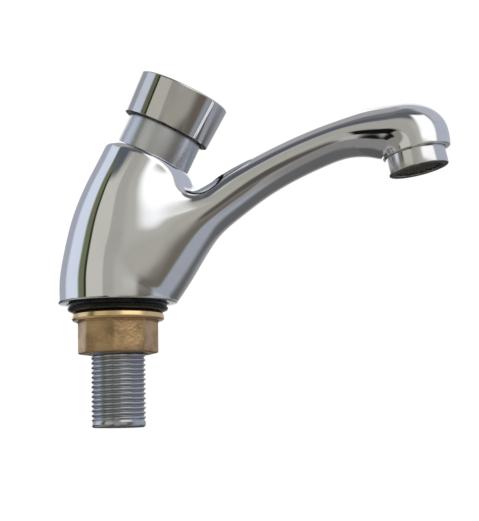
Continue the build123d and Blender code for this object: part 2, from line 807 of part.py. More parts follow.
# Fine grid at the outlet
with BuildPart() as aerator_mesh:
    with BuildSketch(across_axis(fall_axis, mesh_low)):
        Circle(insert_radius)
        with GridLocations(mesh_cell, mesh_cell, mesh_rows, mesh_rows) as cells:
            holes = [
                spot for spot in cells.local_locations if spot.position.length < ring_bore_radius - ring_lip
            ]
        with Locations(*holes):
            Rectangle(mesh_cell - mesh_bar, mesh_cell - mesh_bar, mode=Mode.SUBTRACT)
    extrude(amount=mesh_thickness)
aerator_mesh.part.label = "aerator_mesh"
export_step(aerator_mesh.part, "parts/aerator_mesh.step")

# Plastic core that breaks the water into jets and draws air in
with BuildPart() as aerator_insert:
    with BuildSketch(falling):
        band(insert_radius - insert_wall, insert_radius, mesh_low + mesh_thickness, aerator_top)
        band(0, insert_radius, aerator_top - insert_plate, aerator_top)
    revolve(axis=fall_axis)
    with BuildSketch(across_axis(fall_axis, aerator_top - insert_plate)):
        for share in insert_shares:
            with PolarLocations(insert_circle * share, insert_holes):
                Circle(insert_hole)
    extrude(amount=insert_plate, mode=Mode.SUBTRACT)
aerator_insert.part.label = "aerator_insert"
export_step(aerator_insert.part, "parts/aerator_insert.step")

# Flat rubber ring between the aerator and the bore's roof
with BuildPart() as aerator_washer:
    with BuildSketch(falling):
        band(aerator_washer_bore, aerator_thread_radius, aerator_top, aerator_roof)
    revolve(axis=fall_axis)
aerator_washer.part.label = "aerator_washer"
export_step(aerator_washer.part, "parts/aerator_washer.step")
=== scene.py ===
"""Push timed tap: finished surfaces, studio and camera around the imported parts.

All sizes are in millimetres in the parts' own frame, and become metres where a mesh is made. +Z is up, and +X
points to the outlet. The cartridge's spindle leans towards the spout, and the outlet's spindle leans back
towards the body.
"""

import json
import logging
import math
from dataclasses import dataclass, field
from enum import Enum

import bmesh
import bpy
import numpy as np
from mathutils import Matrix, Vector

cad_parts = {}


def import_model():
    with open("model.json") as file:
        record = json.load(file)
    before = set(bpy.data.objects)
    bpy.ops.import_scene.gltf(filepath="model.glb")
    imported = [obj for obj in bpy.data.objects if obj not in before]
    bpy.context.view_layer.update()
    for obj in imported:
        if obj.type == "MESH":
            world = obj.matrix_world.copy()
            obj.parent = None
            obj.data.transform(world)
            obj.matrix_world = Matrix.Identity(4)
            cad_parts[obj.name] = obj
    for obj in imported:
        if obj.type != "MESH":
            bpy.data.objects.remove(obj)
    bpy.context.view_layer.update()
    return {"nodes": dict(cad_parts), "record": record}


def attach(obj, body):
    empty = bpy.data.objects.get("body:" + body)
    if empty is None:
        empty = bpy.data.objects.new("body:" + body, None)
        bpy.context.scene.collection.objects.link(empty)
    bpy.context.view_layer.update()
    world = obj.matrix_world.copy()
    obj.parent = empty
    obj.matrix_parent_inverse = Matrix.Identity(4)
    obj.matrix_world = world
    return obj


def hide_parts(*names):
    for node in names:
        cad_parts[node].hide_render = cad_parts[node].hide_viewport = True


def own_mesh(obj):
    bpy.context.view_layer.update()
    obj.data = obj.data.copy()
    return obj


MM = 0.001
FULL_TURN = 2 * math.pi
LOG = logging.getLogger("tap")
SIDEWAYS = np.array([0.0, 1.0, 0.0])
UPRIGHT = (0.0, 0.0, 1.0)

Colour = tuple[float, float, float, float]
Face = tuple[int, ...]
Corner = tuple[float, float]
Oval = tuple[Corner, Corner, float]
Length = float | np.ndarray


class Slot(Enum):
    """Material slots of the record."""

    CAST_CHROME = "cast_chrome"
    TURNED_CHROME = "turned_chrome"
    NUT_BRASS = "nut_brass"
    TAIL_ZINC = "tail_zinc"
    BLACK_RUBBER = "black_rubber"
    SEAL_RUBBER = "seal_rubber"
    SEAL_FIBRE = "seal_fibre"
    INNER_BRASS = "inner_brass"
    INNER_STEEL = "inner_steel"
    AERATOR_PLASTIC = "aerator_plastic"
    MESH_STEEL = "mesh_steel"


class Body(Enum):
    """Rigid bodies that the pieces ride on."""

    ROOT = "root"
    PLUNGER = "plunger"
    WASHER = "washer"
    NUT = "nut"


def spline(knots: np.ndarray, values: np.ndarray, at: np.ndarray) -> np.ndarray:
    """Natural cubic spline through rows of values.

    Args:
        knots: Rising places of the rows.
        values: One row for each knot.
        at: Places to work out.

    Returns:
        One row for each place.
    """
    steps = np.diff(knots)
    count = len(knots)
    system = np.eye(count)
    right = np.zeros_like(values)
    for i in range(1, count - 1):
        system[i, i - 1 : i + 2] = steps[i - 1], 2 * (steps[i - 1] + steps[i]), steps[i]
        slope = (values[i] - values[i - 1]) / steps[i - 1]
        right[i] = 6 * ((values[i + 1] - values[i]) / steps[i] - slope)
    bend = np.linalg.solve(system, right)
    cell = np.clip(np.searchsorted(knots, at, side="right") - 1, 0, count - 2)
    step = steps[cell][:, None]
    after = (at - knots[cell])[:, None]
    before = step - after
    cubic = (bend[cell] * before**3 + bend[cell + 1] * after**3) / (6 * step)
    low = (values[cell] / step - bend[cell] * step / 6) * before
    high = (values[cell + 1] / step - bend[cell + 1] * step / 6) * after
    return cubic + low + high


def eased(value: np.ndarray, start: float, end: float) -> np.ndarray:
    """Smooth step.

    Args:
        value: Values to judge.
        start: Value that gives 0.
        end: Value that gives 1.

    Returns:
        One share for each value.
    """
    share = np.clip((value - start) / (end - start), 0.0, 1.0)
    return share * share * (3 - 2 * share)


@dataclass(frozen=True)
class Spindle:
    """A turning axis in the XZ plane.

    Attributes:
        reach: X of its zero.
        height: Z of its zero.
        lean: Degrees that its top leans towards +X.
        flipped: True where angle 0 lies on the -X side.
    """

    reach: float
    height: float
    lean: float
    flipped: bool = False

    @property
    def along(self) -> np.ndarray:
        """Direction up the axis."""
        lean = math.radians(self.lean)
        return np.array([math.sin(lean), 0.0, math.cos(lean)])

    @property
    def across(self) -> np.ndarray:
        """Direction of angle 0."""
        lean = math.radians(self.lean)
        side = np.array([math.cos(lean), 0.0, -math.sin(lean)])
        return -side if self.flipped else side

    @property
    def origin(self) -> np.ndarray:
        """Point that heights count from."""
        return np.array([self.reach, 0.0, self.height])

    def spots(self, radius: Length, height: Length, turn: Length) -> np.ndarray:
        """Points round the axis.

        Args:
            radius: Distances from the axis.
            height: Heights along it.
            turn: Angles in radians, running from angle 0 towards +Y.

        Returns:
            A row for each point, or one point where all three are plain numbers.
        """
        radius, height, turn = np.broadcast_arrays(radius, height, turn)
        flat = np.cos(turn)[..., None] * self.across + np.sin(turn)[..., None] * SIDEWAYS
        return self.origin + radius[..., None] * flat + height[..., None] * self.along

    def turn_of(self, points: np.ndarray) -> np.ndarray:
        """Angles of points round the axis."""
        return np.arctan2(points[:, 1], self.across_of(points))

    def across_of(self, points: np.ndarray) -> np.ndarray:
        """Distances of points from the axis, measured towards angle 0."""
        return (points - self.origin) @ self.across

    def height_of(self, points: np.ndarray) -> np.ndarray:
        """Heights of points along the axis."""
        return (points - self.origin) @ self.along


@dataclass(frozen=True)
class Section:
    """An ellipse across a bent tube: its centre, the climb of the tube there, half depth and half width."""

    reach: float
    height: float
    climb: float
    depth: float
    width: float


class Duct:
    """A smooth tube of elliptical sections along a path in the XZ plane.

    Attributes:
        BEND_RUN: Millimetres of path that a radian of bend counts for.
        FAR: Cost of a section that doesn't face a point.
        TINY: What keeps a division from zero.
    """

    BEND_RUN = 9.0
    FAR = 1e6
    TINY = 1e-9

    def __init__(self, sections: tuple[Section, ...], samples: int = 320) -> None:
        """Samples the tube.

        Args:
            sections: The sections, in order along the tube.
            samples: How many finer sections to work out.
        """
        rows = np.array([[s.reach, s.height, s.climb, s.depth, s.width] for s in sections])
        runs = np.hypot(np.diff(rows[:, 0]), np.diff(rows[:, 1]))
        runs = runs + np.abs(np.radians(np.diff(rows[:, 2]))) * self.BEND_RUN
        self.knots = np.concatenate([[0.0], np.cumsum(runs)])
        self.rows = rows
        self.fine = spline(self.knots, rows, np.linspace(0, self.knots[-1], samples))
        climb = np.radians(self.fine[:, 2])
        self.normal = np.stack([np.cos(climb), np.sin(climb)], axis=1)
        self.upward = np.stack([-np.sin(climb), np.cos(climb)], axis=1)

    def ring(self, knot: float, turns: np.ndarray) -> np.ndarray:
        """Points of the section at a knot, angles running from the underside towards +Y.

        Args:
            knot: Place among the sections, counted from 0; fractions lie between two of them.
            turns: Angles in radians.

        Returns:
            The points.
        """
        place = np.interp(knot, np.arange(len(self.knots)), self.knots)
        x, z, climb, depth, width = spline(self.knots, self.rows, np.array([place]))[0]
        climb = math.radians(climb)
        down = -depth * np.cos(turns)
        return np.stack(
            [x - math.sin(climb) * down, width * np.sin(turns), z + math.cos(climb) * down], axis=1
        )

    def gap(self, points: np.ndarray) -> np.ndarray:
        """About how far points lie outside the tube; negative inside.

        Args:
            points: Points, one row each.

        Returns:
            One distance for each point.
        """
        flat = points[:, [0, 2]]
        away = flat[:, None, :] - self.fine[None, :, :2]
        ahead = np.einsum("ijk,jk->ij", away, self.normal)
        beside = np.abs(np.einsum("ijk,jk->ij", away, self.upward))
        crosses = (ahead[:, :-1] >= 0) & (ahead[:, 1:] < 0)
        cost = np.where(crosses, beside[:, :-1], self.FAR)
        cell = np.argmin(cost, axis=1)
        lost = cost[np.arange(len(cell)), cell] > self.FAR / 10
        first, last = ahead[:, 0], ahead[:, -1]
        cell = np.where(lost & (first < 0), 0, cell)
        cell = np.where(lost & (last >= 0), len(self.fine) - 2, cell)
        row = np.arange(len(cell))
        behind, front = ahead[row, cell], ahead[row, cell + 1]
        span = behind - front
        share = np.clip(behind / np.where(np.abs(span) < self.TINY, self.TINY, span), 0, 1)
        here = self.fine[cell] * (1 - share)[:, None] + self.fine[cell + 1] * share[:, None]
        climb = np.radians(here[:, 2])
        across = (flat[:, 1] - here[:, 1]) * np.cos(climb) - (flat[:, 0] - here[:, 0]) * np.sin(climb)
        deep, wide = across / here[:, 3], points[:, 1] / here[:, 4]
        size = np.sqrt(deep**2 + wide**2) + self.TINY
        slope = np.sqrt((deep / here[:, 3]) ** 2 + (wide / here[:, 4]) ** 2) + self.TINY
        return (size - 1) * size / slope


class Outline:
    """A half section for turned pieces: corners as radius and height, each with its own rounding."""

    def __init__(self, steps: int = 4) -> None:
        """Starts an empty outline whose rounded corners take that many steps."""
        self.steps = steps
        self.corners: list[tuple[float, float, float]] = []

    def to(self, radius: float, height: float, soft: float = 0.0) -> "Outline":
        """Adds a corner and returns the outline."""
        self.corners.append((radius, height, soft))
        return self

    def points(self, closed: bool = True) -> list[Corner]:
        """The corners, with an arc at each rounded one.

        Args:
            closed: True where the last corner joins the first.

        Returns:
            Points as radius and height.
        """
        found = []
        count = len(self.corners)
        for i, (radius, height, soft) in enumerate(self.corners):
            here = np.array([radius, height])
            if soft <= 0 or (not closed and i in (0, count - 1)):
                found.append((radius, height))
                continue
            back = np.array(self.corners[i - 1][:2]) - here
            ahead = np.array(self.corners[(i + 1) % count][:2]) - here
            back, ahead = back / np.linalg.norm(back), ahead / np.linalg.norm(ahead)
            half = math.acos(np.clip(back @ ahead, -1, 1)) / 2
            middle = here + (back + ahead) / np.linalg.norm(back + ahead) * soft / math.sin(half)
            start = here + back * soft / math.tan(half) - middle
            end = here + ahead * soft / math.tan(half) - middle
            sweep = math.pi - 2 * half
            for step in range(self.steps + 1):
                angle = sweep * step / self.steps
                arm = (start * math.sin(sweep - angle) + end * math.sin(angle)) / math.sin(sweep)
                found.append(tuple(middle + arm))
        return found


def make_piece(
    name: str, points: np.ndarray, faces: list[Face], crease: float = 32.0
) -> bpy.types.Object:
    """Makes a closed, smooth mesh object.

    Args:
        name: Its name.
        points: Points in millimetres.
        faces: Corner numbers of each face.
        crease: Edges that turn by more than this many degrees stay sharp.

    Returns:
        The object.
    """
    mesh = bpy.data.meshes.new(name)
    mesh.from_pydata((np.asarray(points) * MM).tolist(), [], faces)
    sheet = bmesh.new()
    sheet.from_mesh(mesh)
    bmesh.ops.remove_doubles(sheet, verts=sheet.verts, dist=1e-4 * MM)
    bmesh.ops.recalc_face_normals(sheet, faces=sheet.faces)
    sheet.to_mesh(mesh)
    sheet.free()
    mesh.polygons.foreach_set("use_smooth", [True] * len(mesh.polygons))
    mesh.set_sharp_from_angle(angle=math.radians(crease))
    mesh.update()
    piece = bpy.data.objects.new(name, mesh)
    bpy.context.scene.collection.objects.link(piece)
    return piece


def turned(
    name: str, spindle: Spindle, outline: list[Corner], sides: int = 160, crease: float = 32.0
) -> bpy.types.Object:
    """Turns a closed half section about a spindle.

    Args:
        name: The piece's name.
        spindle: The axis.
        outline: Radius and height of each corner; a radius of 0 lies on the axis.
        sides: How many flats the round is made of.
        crease: Angle above which an edge stays sharp.

    Returns:
        The piece.
    """
    turns = np.arange(sides) * FULL_TURN / sides
    rings = np.concatenate([spindle.spots(r, h, turns) for r, h in outline])
    count = len(outline)
    faces = []
    for i in range(count):
        low, high = i * sides, (i + 1) % count * sides
        on_axis = outline[i][0] < 1e-9, outline[(i + 1) % count][0] < 1e-9
        if all(on_axis):
            continue
        for j in range(sides):
            k = (j + 1) % sides
            if on_axis[0]:
                faces.append((low, high + k, high + j))
            elif on_axis[1]:
                faces.append((low + j, low + k, high))
            else:
                faces.append((low + j, low + k, high + k, high + j))
    return make_piece(name, rings, faces, crease)


class Weave:
    """A growing mesh of rings, kept as lists until the piece is made."""

    def __init__(self, points: np.ndarray | None = None, faces: list[Face] | None = None) -> None:
        """Starts empty, or from points and faces that are there already."""
        self.points = [np.zeros((0, 3)) if points is None else points]
        self.faces = list(faces or [])
        self.count = len(self.points[0])

    def add(self, ring: np.ndarray) -> list[int]:
        """Adds points.

        Args:
            ring: Points, one row each.

        Returns:
            Their numbers.
        """
        numbers = list(range(self.count, self.count + len(ring)))
        self.points.append(ring)
        self.count += len(ring)
        return numbers

    def join(self, first: list[int], second: list[int]) -> None:
        """Spans faces between two rings of equal length."""
        for i in range(len(first)):
            j = (i + 1) % len(first)
            self.faces.append((first[i], first[j], second[j], second[i]))

    def close(self, loops: list[list[int]]) -> None:
        """Joins rings in order, and the last one to the first."""
        for first, second in zip(loops, loops[1:] + loops[:1]):
            self.join(first, second)

    def wire(self, line: np.ndarray, out: np.ndarray, side: np.ndarray, radius: float, sides: int) -> None:
        """Adds a round wire with flat ends.

        Args:
            line: Points along its middle.
            out: Direction across the wire at each point.
            side: The direction square to both, at each point.
            radius: Half its thickness.
            sides: How many flats the round is made of.
        """
        angles = np.arange(sides) * FULL_TURN / sides
        arms = np.cos(angles)[:, None] * out[:, None, :] + np.sin(angles)[:, None] * side[:, None, :]
        rings = [self.add(spot + arm * radius) for spot, arm in zip(line, arms)]
        self.faces.append(tuple(reversed(rings[0])))
        for first, second in zip(rings, rings[1:]):
            self.join(first, second)
        self.faces.append(tuple(rings[-1]))

    def piece(self, name: str, crease: float) -> bpy.types.Object:
        """Makes the piece.

        Args:
            name: Its name.
            crease: Edges that turn by more than this many degrees stay sharp.

        Returns:
            The piece.
        """
        return make_piece(name, np.concatenate(self.points), self.faces, crease)

    def carry(
        self, loop: list[int], spindle: Spindle, turns: np.ndarray, outline: list[Corner]
    ) -> list[int]:
        """Carries a round edge on along a half section.

        Args:
            loop: The edge's points.
            spindle: The axis that the edge runs round.
            turns: Angle of each of the edge's points.
            outline: Radius and height of each further ring.

        Returns:
            The last ring.
        """
        for radius, height in outline:
            ring = self.add(spindle.spots(radius, height, turns))
            self.join(loop, ring)
            loop = ring
        return loop

    def grow(
        self, loop: list[int], spindle: Spindle, turns: np.ndarray, outline: list[Corner]
    ) -> None:
        """Carries a round edge on along a half section, and closes it on the axis.

        Args:
            loop: The edge's points.
            spindle: The axis that the edge runs round.
            turns: Angle of each of the edge's points.
            outline: Radius and height of each further ring, the last one on the axis.
        """
        loop = self.carry(loop, spindle, turns, outline[:-1])
        tip = self.add(spindle.spots(0.0, outline[-1][1], 0.0)[None])[0]
        for i in range(len(loop)):
            self.faces.append((loop[i], loop[(i + 1) % len(loop)], tip))


def low_edge(radius: float, soft: float, steps: int = 5) -> list[Corner]:
    """Quarter round at the low edge of a wall, from the wall inwards to height 0.

    Args:
        radius: Radius of the wall.
        soft: Radius of the round.
        steps: How many steps the round takes.

    Returns:
        The points after the first, as radius and height.
    """
    angles = [math.pi / 2 * step / steps for step in range(1, steps + 1)]
    return [(radius - soft * (1 - math.cos(a)), soft * (1 - math.sin(a))) for a in angles]


DECK = Spindle(0.0, 0.0, 0.0)
PLUNGE = Spindle(14.2, 56.35, 26.5)
JET = Spindle(115.4, 53.5, -11.5, flipped=True)
HOOD = Spindle(116.09, 53.64, -11.5, flipped=True)


class Wiring:
    """Adds nodes to a tree and joins them."""

    def __init__(self, tree: bpy.types.NodeTree) -> None:
        """Empties the tree and starts on it."""
        self.tree = tree
        tree.nodes.clear()

    def add(self, kind: str, inputs: dict | None = None, **choices: object) -> bpy.types.Node:
        """Adds a node.

        Args:
            kind: Blender's name of the node type, without its Shader prefix.
            inputs: A value or another node's output for each input, by its name or number.
            choices: The node's own settings.

        Returns:
            The node.
        """
        node = self.tree.nodes.new(kind if kind.startswith(("Node", "Shader")) else "ShaderNode" + kind)
        for name, value in choices.items():
            setattr(node, name, value)
        for name, value in (inputs or {}).items():
            if isinstance(value, bpy.types.NodeSocket):
                self.tree.links.new(value, node.inputs[name])
            else:
                node.inputs[name].default_value = value
        return node

    def math(self, operation: str, *values: object) -> bpy.types.NodeSocket:
        """One sum of values or outputs."""
        return self.add("Math", dict(enumerate(values)), operation=operation).outputs[0]

    def mix(self, share: object, first: object, second: object) -> bpy.types.NodeSocket:
        """Colour between two colours."""
        return self.add("Mix", {0: share, 6: first, 7: second}, data_type="RGBA").outputs[2]

    def span(
        self, value: object, low: float, high: float, start: float = 0.0, end: float = 1.0
    ) -> bpy.types.NodeSocket:
        """Value carried smoothly from low..high to start..end."""
        places = {"Value": value, "From Min": low, "From Max": high, "To Min": start, "To Max": end}
        return self.add("MapRange", places, interpolation_type="SMOOTHSTEP").outputs[0]

    def noise(
        self, spot: object, scale: object, detail: float = 3.0, rough: float = 0.5
    ) -> bpy.types.NodeSocket:
        """Soft random value over the surface."""
        places = {"Vector": spot, "Scale": scale, "Detail": detail, "Roughness": rough}
        return self.add("TexNoise", places).outputs["Fac"]

    def bump(
        self, height: object, strength: float, distance: float, normal: object = None
    ) -> bpy.types.NodeSocket:
        """Surface relief.

        Args:
            height: Output that gives the height.
            strength: Share of the relief that shows.
            distance: Millimetres that a height of 1 stands for.
            normal: Normal that the relief lies on, where it isn't the mesh's own.

        Returns:
            The normal.
        """
        places = {"Height": height, "Strength": strength, "Distance": distance * MM}
        if normal is not None:
            places["Normal"] = normal
        return self.add("Bump", places).outputs[0]


class Effect(Enum):
    """Surface effects that several finishes share, each a node group."""

    HANDLING = "handling_marks"
    WAVES = "polished_waves"
    WEAR = "edge_wear"
    LATHE = "lathe_lines"
    GRAIN = "sand_grain"


class Effects:
    """Builds each shared effect once and places it in materials."""

    SOCKETS = {
        Effect.HANDLING: ({"Spot": "Vector", "Size": "Float"}, {"Smudge": "Float", "Hairlines": "Float"}),
        Effect.WAVES: ({"Spot": "Vector", "Size": "Float"}, {"Height": "Float"}),
        Effect.WEAR: ({"Spot": "Vector", "Size": "Float"}, {"Mask": "Float"}),
        Effect.LATHE: ({"Spot": "Vector", "Axis": "Vector", "Pitch": "Float"}, {"Height": "Float"}),
        Effect.GRAIN: ({"Spot": "Vector", "Size": "Float"}, {"Height": "Float", "Mottle": "Float"}),
    }

    def __init__(self) -> None:
        """Starts with no groups."""
        self.groups: dict[Effect, bpy.types.NodeTree] = {}

    def place(
        self, wiring: Wiring, effect: Effect, spot: bpy.types.NodeSocket, **values: object
    ) -> bpy.types.bpy_prop_collection:
        """Puts an effect in a material.

        Args:
            wiring: The material's nodes.
            effect: Which effect.
            spot: The place on the surface.
            values: The effect's other inputs, sizes in millimetres.

        Returns:
            The effect's outputs.
        """
        if effect not in self.groups:
            self.groups[effect] = self.make(effect)
        return wiring.add("Group", {"Spot": spot, **values}, node_tree=self.groups[effect]).outputs

    def make(self, effect: Effect) -> bpy.types.NodeTree:
        """Builds the group of an effect.

        Args:
            effect: Which effect.

        Returns:
            The group.
        """
        tree = bpy.data.node_groups.new(effect.value, "ShaderNodeTree")
        wiring = Wiring(tree)
        takes, gives = self.SOCKETS[effect]
        for name, kind in takes.items():
            tree.interface.new_socket(name=name, in_out="INPUT", socket_type="NodeSocket" + kind)
        for name, kind in gives.items():
            tree.interface.new_socket(name=name, in_out="OUTPUT", socket_type="NodeSocket" + kind)
        given = wiring.add("NodeGroupInput").outputs
        made = getattr(self, "_" + effect.value)(wiring, given)
        taken = wiring.add("NodeGroupOutput").inputs
        for name, value in made.items():
            tree.links.new(value, taken[name])
        return tree

    @staticmethod
    def _handling_marks(wiring: Wiring, given: bpy.types.bpy_prop_collection) -> dict:
        """Wiped smudges and fine hairlines left by handling.

        Args:
            wiring: The group's nodes.
            given: The group's inputs.

        Returns:
            A value for each of the group's outputs.
        """
        scale = wiring.math("DIVIDE", 1 / MM, given["Size"])
        patches = wiring.span(wiring.noise(given["Spot"], scale, 4.0, 0.6), 0.48, 0.68)
        fine = wiring.noise(given["Spot"], wiring.math("MULTIPLY", scale, 9.0), 3.0, 0.7)
        places = {"Vector": given["Spot"], "Rotation": (0.4, 0.9, 0.3), "Scale": (1, 16, 1)}
        stretched = wiring.add("Mapping", places)
        lines = wiring.noise(stretched.outputs[0], wiring.math("MULTIPLY", scale, 6.0), 2.0, 0.8)
        return {"Smudge": wiring.math("MULTIPLY", patches, fine), "Hairlines": wiring.span(lines, 0.58, 0.72)}

    @staticmethod
    def _polished_waves(wiring: Wiring, given: bpy.types.bpy_prop_collection) -> dict:
        """Slow waves that polishing leaves in a casting."""
        scale = wiring.math("DIVIDE", 1 / MM, given["Size"])
        return {"Height": wiring.noise(given["Spot"], scale, 1.0, 0.4)}

    @staticmethod
    def _edge_wear(wiring: Wiring, given: bpy.types.bpy_prop_collection) -> dict:
        """Mask of edges that rubbing has reached, broken up by noise.

        Args:
            wiring: The group's nodes.
            given: The group's inputs.

        Returns:
            A value for each of the group's outputs.
        """
        scale = wiring.math("DIVIDE", 1 / MM, given["Size"])
        point = wiring.add("NewGeometry").outputs["Pointiness"]
        broken = wiring.noise(given["Spot"], scale, 4.0, 0.7)
        raised = wiring.span(point, 0.51, 0.6)
        return {"Mask": wiring.math("MULTIPLY", raised, wiring.span(broken, 0.35, 0.65))}

    @staticmethod
    def _lathe_lines(wiring: Wiring, given: bpy.types.bpy_prop_collection) -> dict:
        """Fine tool lines round an axis.

        Args:
            wiring: The group's nodes.
            given: The group's inputs.

        Returns:
            A value for each of the group's outputs.
        """
        along = wiring.add("VectorMath", {0: given["Spot"], 1: given["Axis"]}, operation="DOT_PRODUCT")
        height = wiring.math("DIVIDE", along.outputs["Value"], wiring.math("MULTIPLY", given["Pitch"], MM))
        places = {"W": height, "Scale": 1.0, "Detail": 2.0}
        return {"Height": wiring.add("TexNoise", places, noise_dimensions="1D").outputs["Fac"]}

    @staticmethod
    def _sand_grain(wiring: Wiring, given: bpy.types.bpy_prop_collection) -> dict:
        """Grain and mottle of a skin cast in sand or moulded in a rough tool.

        Args:
            wiring: The group's nodes.
            given: The group's inputs.

        Returns:
            A value for each of the group's outputs.
        """
        scale = wiring.math("DIVIDE", 1 / MM, given["Size"])
        grain = wiring.noise(given["Spot"], scale, 5.0, 0.65)
        places = {"Vector": given["Spot"], "Scale": wiring.math("MULTIPLY", scale, 0.7)}
        pits = wiring.add("TexVoronoi", places)
        height = wiring.math("ADD", grain, wiring.math("MULTIPLY", pits.outputs["Distance"], 0.35))
        mottle = wiring.noise(given["Spot"], wiring.math("MULTIPLY", scale, 0.12), 3.0)
        return {"Height": height, "Mottle": mottle}


EFFECTS = Effects()


def shade(red: float, green: float, blue: float) -> Colour:
    """Opaque colour."""
    return (red, green, blue, 1.0)


class Finish:
    """What every finish has: its name, and the start and end of its nodes."""

    name: str

    def begin(self) -> tuple[bpy.types.Material, Wiring, bpy.types.NodeSocket]:
        """Starts the material.

        Returns:
            The material, its nodes and its place on the surface.
        """
        material = bpy.data.materials.new(self.name)
        material.use_nodes = True
        wiring = Wiring(material.node_tree)
        return material, wiring, wiring.add("TexCoord").outputs["Object"]

    @staticmethod
    def end(wiring: Wiring, **inputs: object) -> None:
        """Adds the shader with those inputs, whose names have a _ for each space."""
        inputs = {name.replace("_", " "): value for name, value in inputs.items()}
        shader = wiring.add("BsdfPrincipled", inputs)
        wiring.add("OutputMaterial", {"Surface": shader.outputs[0]})


@dataclass(frozen=True)
class Chrome(Finish):
    """Bright chrome plate over a polished casting or a turned part."""

    name: str
    tint: Colour = shade(0.80, 0.81, 0.83)
    gloss: float = 0.04
    smudge: float = 0.06
    dulling: float = 0.93
    wave_size: float = 16.0
    wave_depth: float = 0.05
    axis: tuple[float, float, float] = UPRIGHT
    lathe_pitch: float = 0.35
    lathe_depth: float = 0.0

    def make(self) -> bpy.types.Material:
        """Builds the material.

        Returns:
            The material.
        """
        material, wiring, spot = self.begin()
        marks = EFFECTS.place(wiring, Effect.HANDLING, spot, Size=14.0)
        waves = EFFECTS.place(wiring, Effect.WAVES, spot, Size=self.wave_size)
        wear = EFFECTS.place(wiring, Effect.WEAR, spot, Size=3.0)
        rough = wiring.math("MULTIPLY_ADD", marks["Smudge"], self.smudge, self.gloss)
        rough = wiring.math("MULTIPLY_ADD", marks["Hairlines"], self.smudge * 0.4, rough)
        normal = wiring.bump(waves["Height"], 1.0, self.wave_depth)
        if self.lathe_depth:
            lathe = EFFECTS.place(wiring, Effect.LATHE, spot, Axis=self.axis, Pitch=self.lathe_pitch)
            normal = wiring.bump(lathe["Height"], 1.0, self.lathe_depth, normal)
        dulled = shade(*(value * self.dulling for value in self.tint[:3]))
        colour = wiring.mix(wiring.math("MAXIMUM", marks["Smudge"], wear["Mask"]), self.tint, dulled)
        self.end(wiring, Base_Color=colour, Metallic=1.0, Roughness=rough, Normal=normal)
        return material


@dataclass(frozen=True)
class CastBrass(Finish):
    """Brass cast in sand, with its flange turned bright."""

    name: str
    tint: Colour = shade(0.64, 0.43, 0.23)
    bright: Colour = shade(0.88, 0.64, 0.34)
    stain: Colour = shade(0.36, 0.24, 0.13)
    turned_above: float = -6.95
    turned_soft: float = 0.2
    rough: float = 0.36
    polish: float = 0.2

    def make(self) -> bpy.types.Material:
        """Builds the material.

        Returns:
            The material.
        """
        material, wiring, spot = self.begin()
        height = wiring.add("SeparateXYZ", {0: spot}).outputs["Z"]
        grain = EFFECTS.place(wiring, Effect.GRAIN, spot, Size=0.9)
        lathe = EFFECTS.place(wiring, Effect.LATHE, spot, Axis=UPRIGHT, Pitch=0.3)
        marks = EFFECTS.place(wiring, Effect.HANDLING, spot, Size=6.0)
        wear = EFFECTS.place(wiring, Effect.WEAR, spot, Size=2.0)
        low, high = (self.turned_above + side * self.turned_soft for side in (-1, 1))
        machined = wiring.span(height, low * MM, high * MM)
        cast = wiring.mix(wiring.span(grain["Mottle"], 0.35, 0.7), self.tint, self.stain)
        colour = wiring.mix(machined, cast, self.bright)
        colour = wiring.mix(wiring.math("MULTIPLY", wear["Mask"], 0.6), colour, self.bright)
        rough = wiring.math("MULTIPLY_ADD", machined, self.polish - self.rough, self.rough)
        rough = wiring.math("MULTIPLY_ADD", marks["Smudge"], 0.12, rough)
        grained = wiring.math("MULTIPLY", grain["Height"], wiring.math("SUBTRACT", 1.0, machined))
        normal = wiring.bump(grained, 0.9, 0.16)
        normal = wiring.bump(wiring.math("MULTIPLY", lathe["Height"], machined), 0.7, 0.02, normal)
        self.end(wiring, Base_Color=colour, Metallic=1.0, Roughness=rough, Normal=normal)
        return material


@dataclass(frozen=True)
class ThreadZinc(Finish):
    """Silver plated thread: bright on its crests, rougher in its roots, with painted shade darkening them."""

    name: str
    tint: Colour = shade(0.57, 0.59, 0.63)
    # Colour of the roots, darkened as painted shade
    root: Colour = shade(0.27, 0.285, 0.31)
    crest_radius: float = 10.3
    root_radius: float = 9.6

    def make(self) -> bpy.types.Material:
        """Builds the material.

        Returns:
            The material.
        """
        material, wiring, spot = self.begin()
        flat = wiring.add("VectorMath", {0: spot, 1: (1.0, 1.0, 0.0)}, operation="MULTIPLY").outputs[0]
        radius = wiring.add("VectorMath", {0: flat}, operation="LENGTH").outputs["Value"]
        crest_share = wiring.span(radius, self.root_radius * MM, self.crest_radius * MM)
        grain = EFFECTS.place(wiring, Effect.GRAIN, spot, Size=1.6)
        marks = EFFECTS.place(wiring, Effect.HANDLING, spot, Size=5.0)
        # Painted shade: the colour falls to the root colour towards the thread's roots
        clear = wiring.math("MULTIPLY", crest_share, wiring.span(grain["Mottle"], 0.2, 0.55, 0.7, 1.0))
        colour = wiring.mix(clear, self.root, self.tint)
        rough = wiring.math("MULTIPLY_ADD", marks["Smudge"], 0.2, 0.15)
        rough = wiring.math("MULTIPLY_ADD", wiring.math("SUBTRACT", 1.0, crest_share), 0.2, rough)
        normal = wiring.bump(grain["Height"], 0.5, 0.03)
        self.end(wiring, Base_Color=colour, Metallic=1.0, Roughness=rough, Normal=normal)
        return material


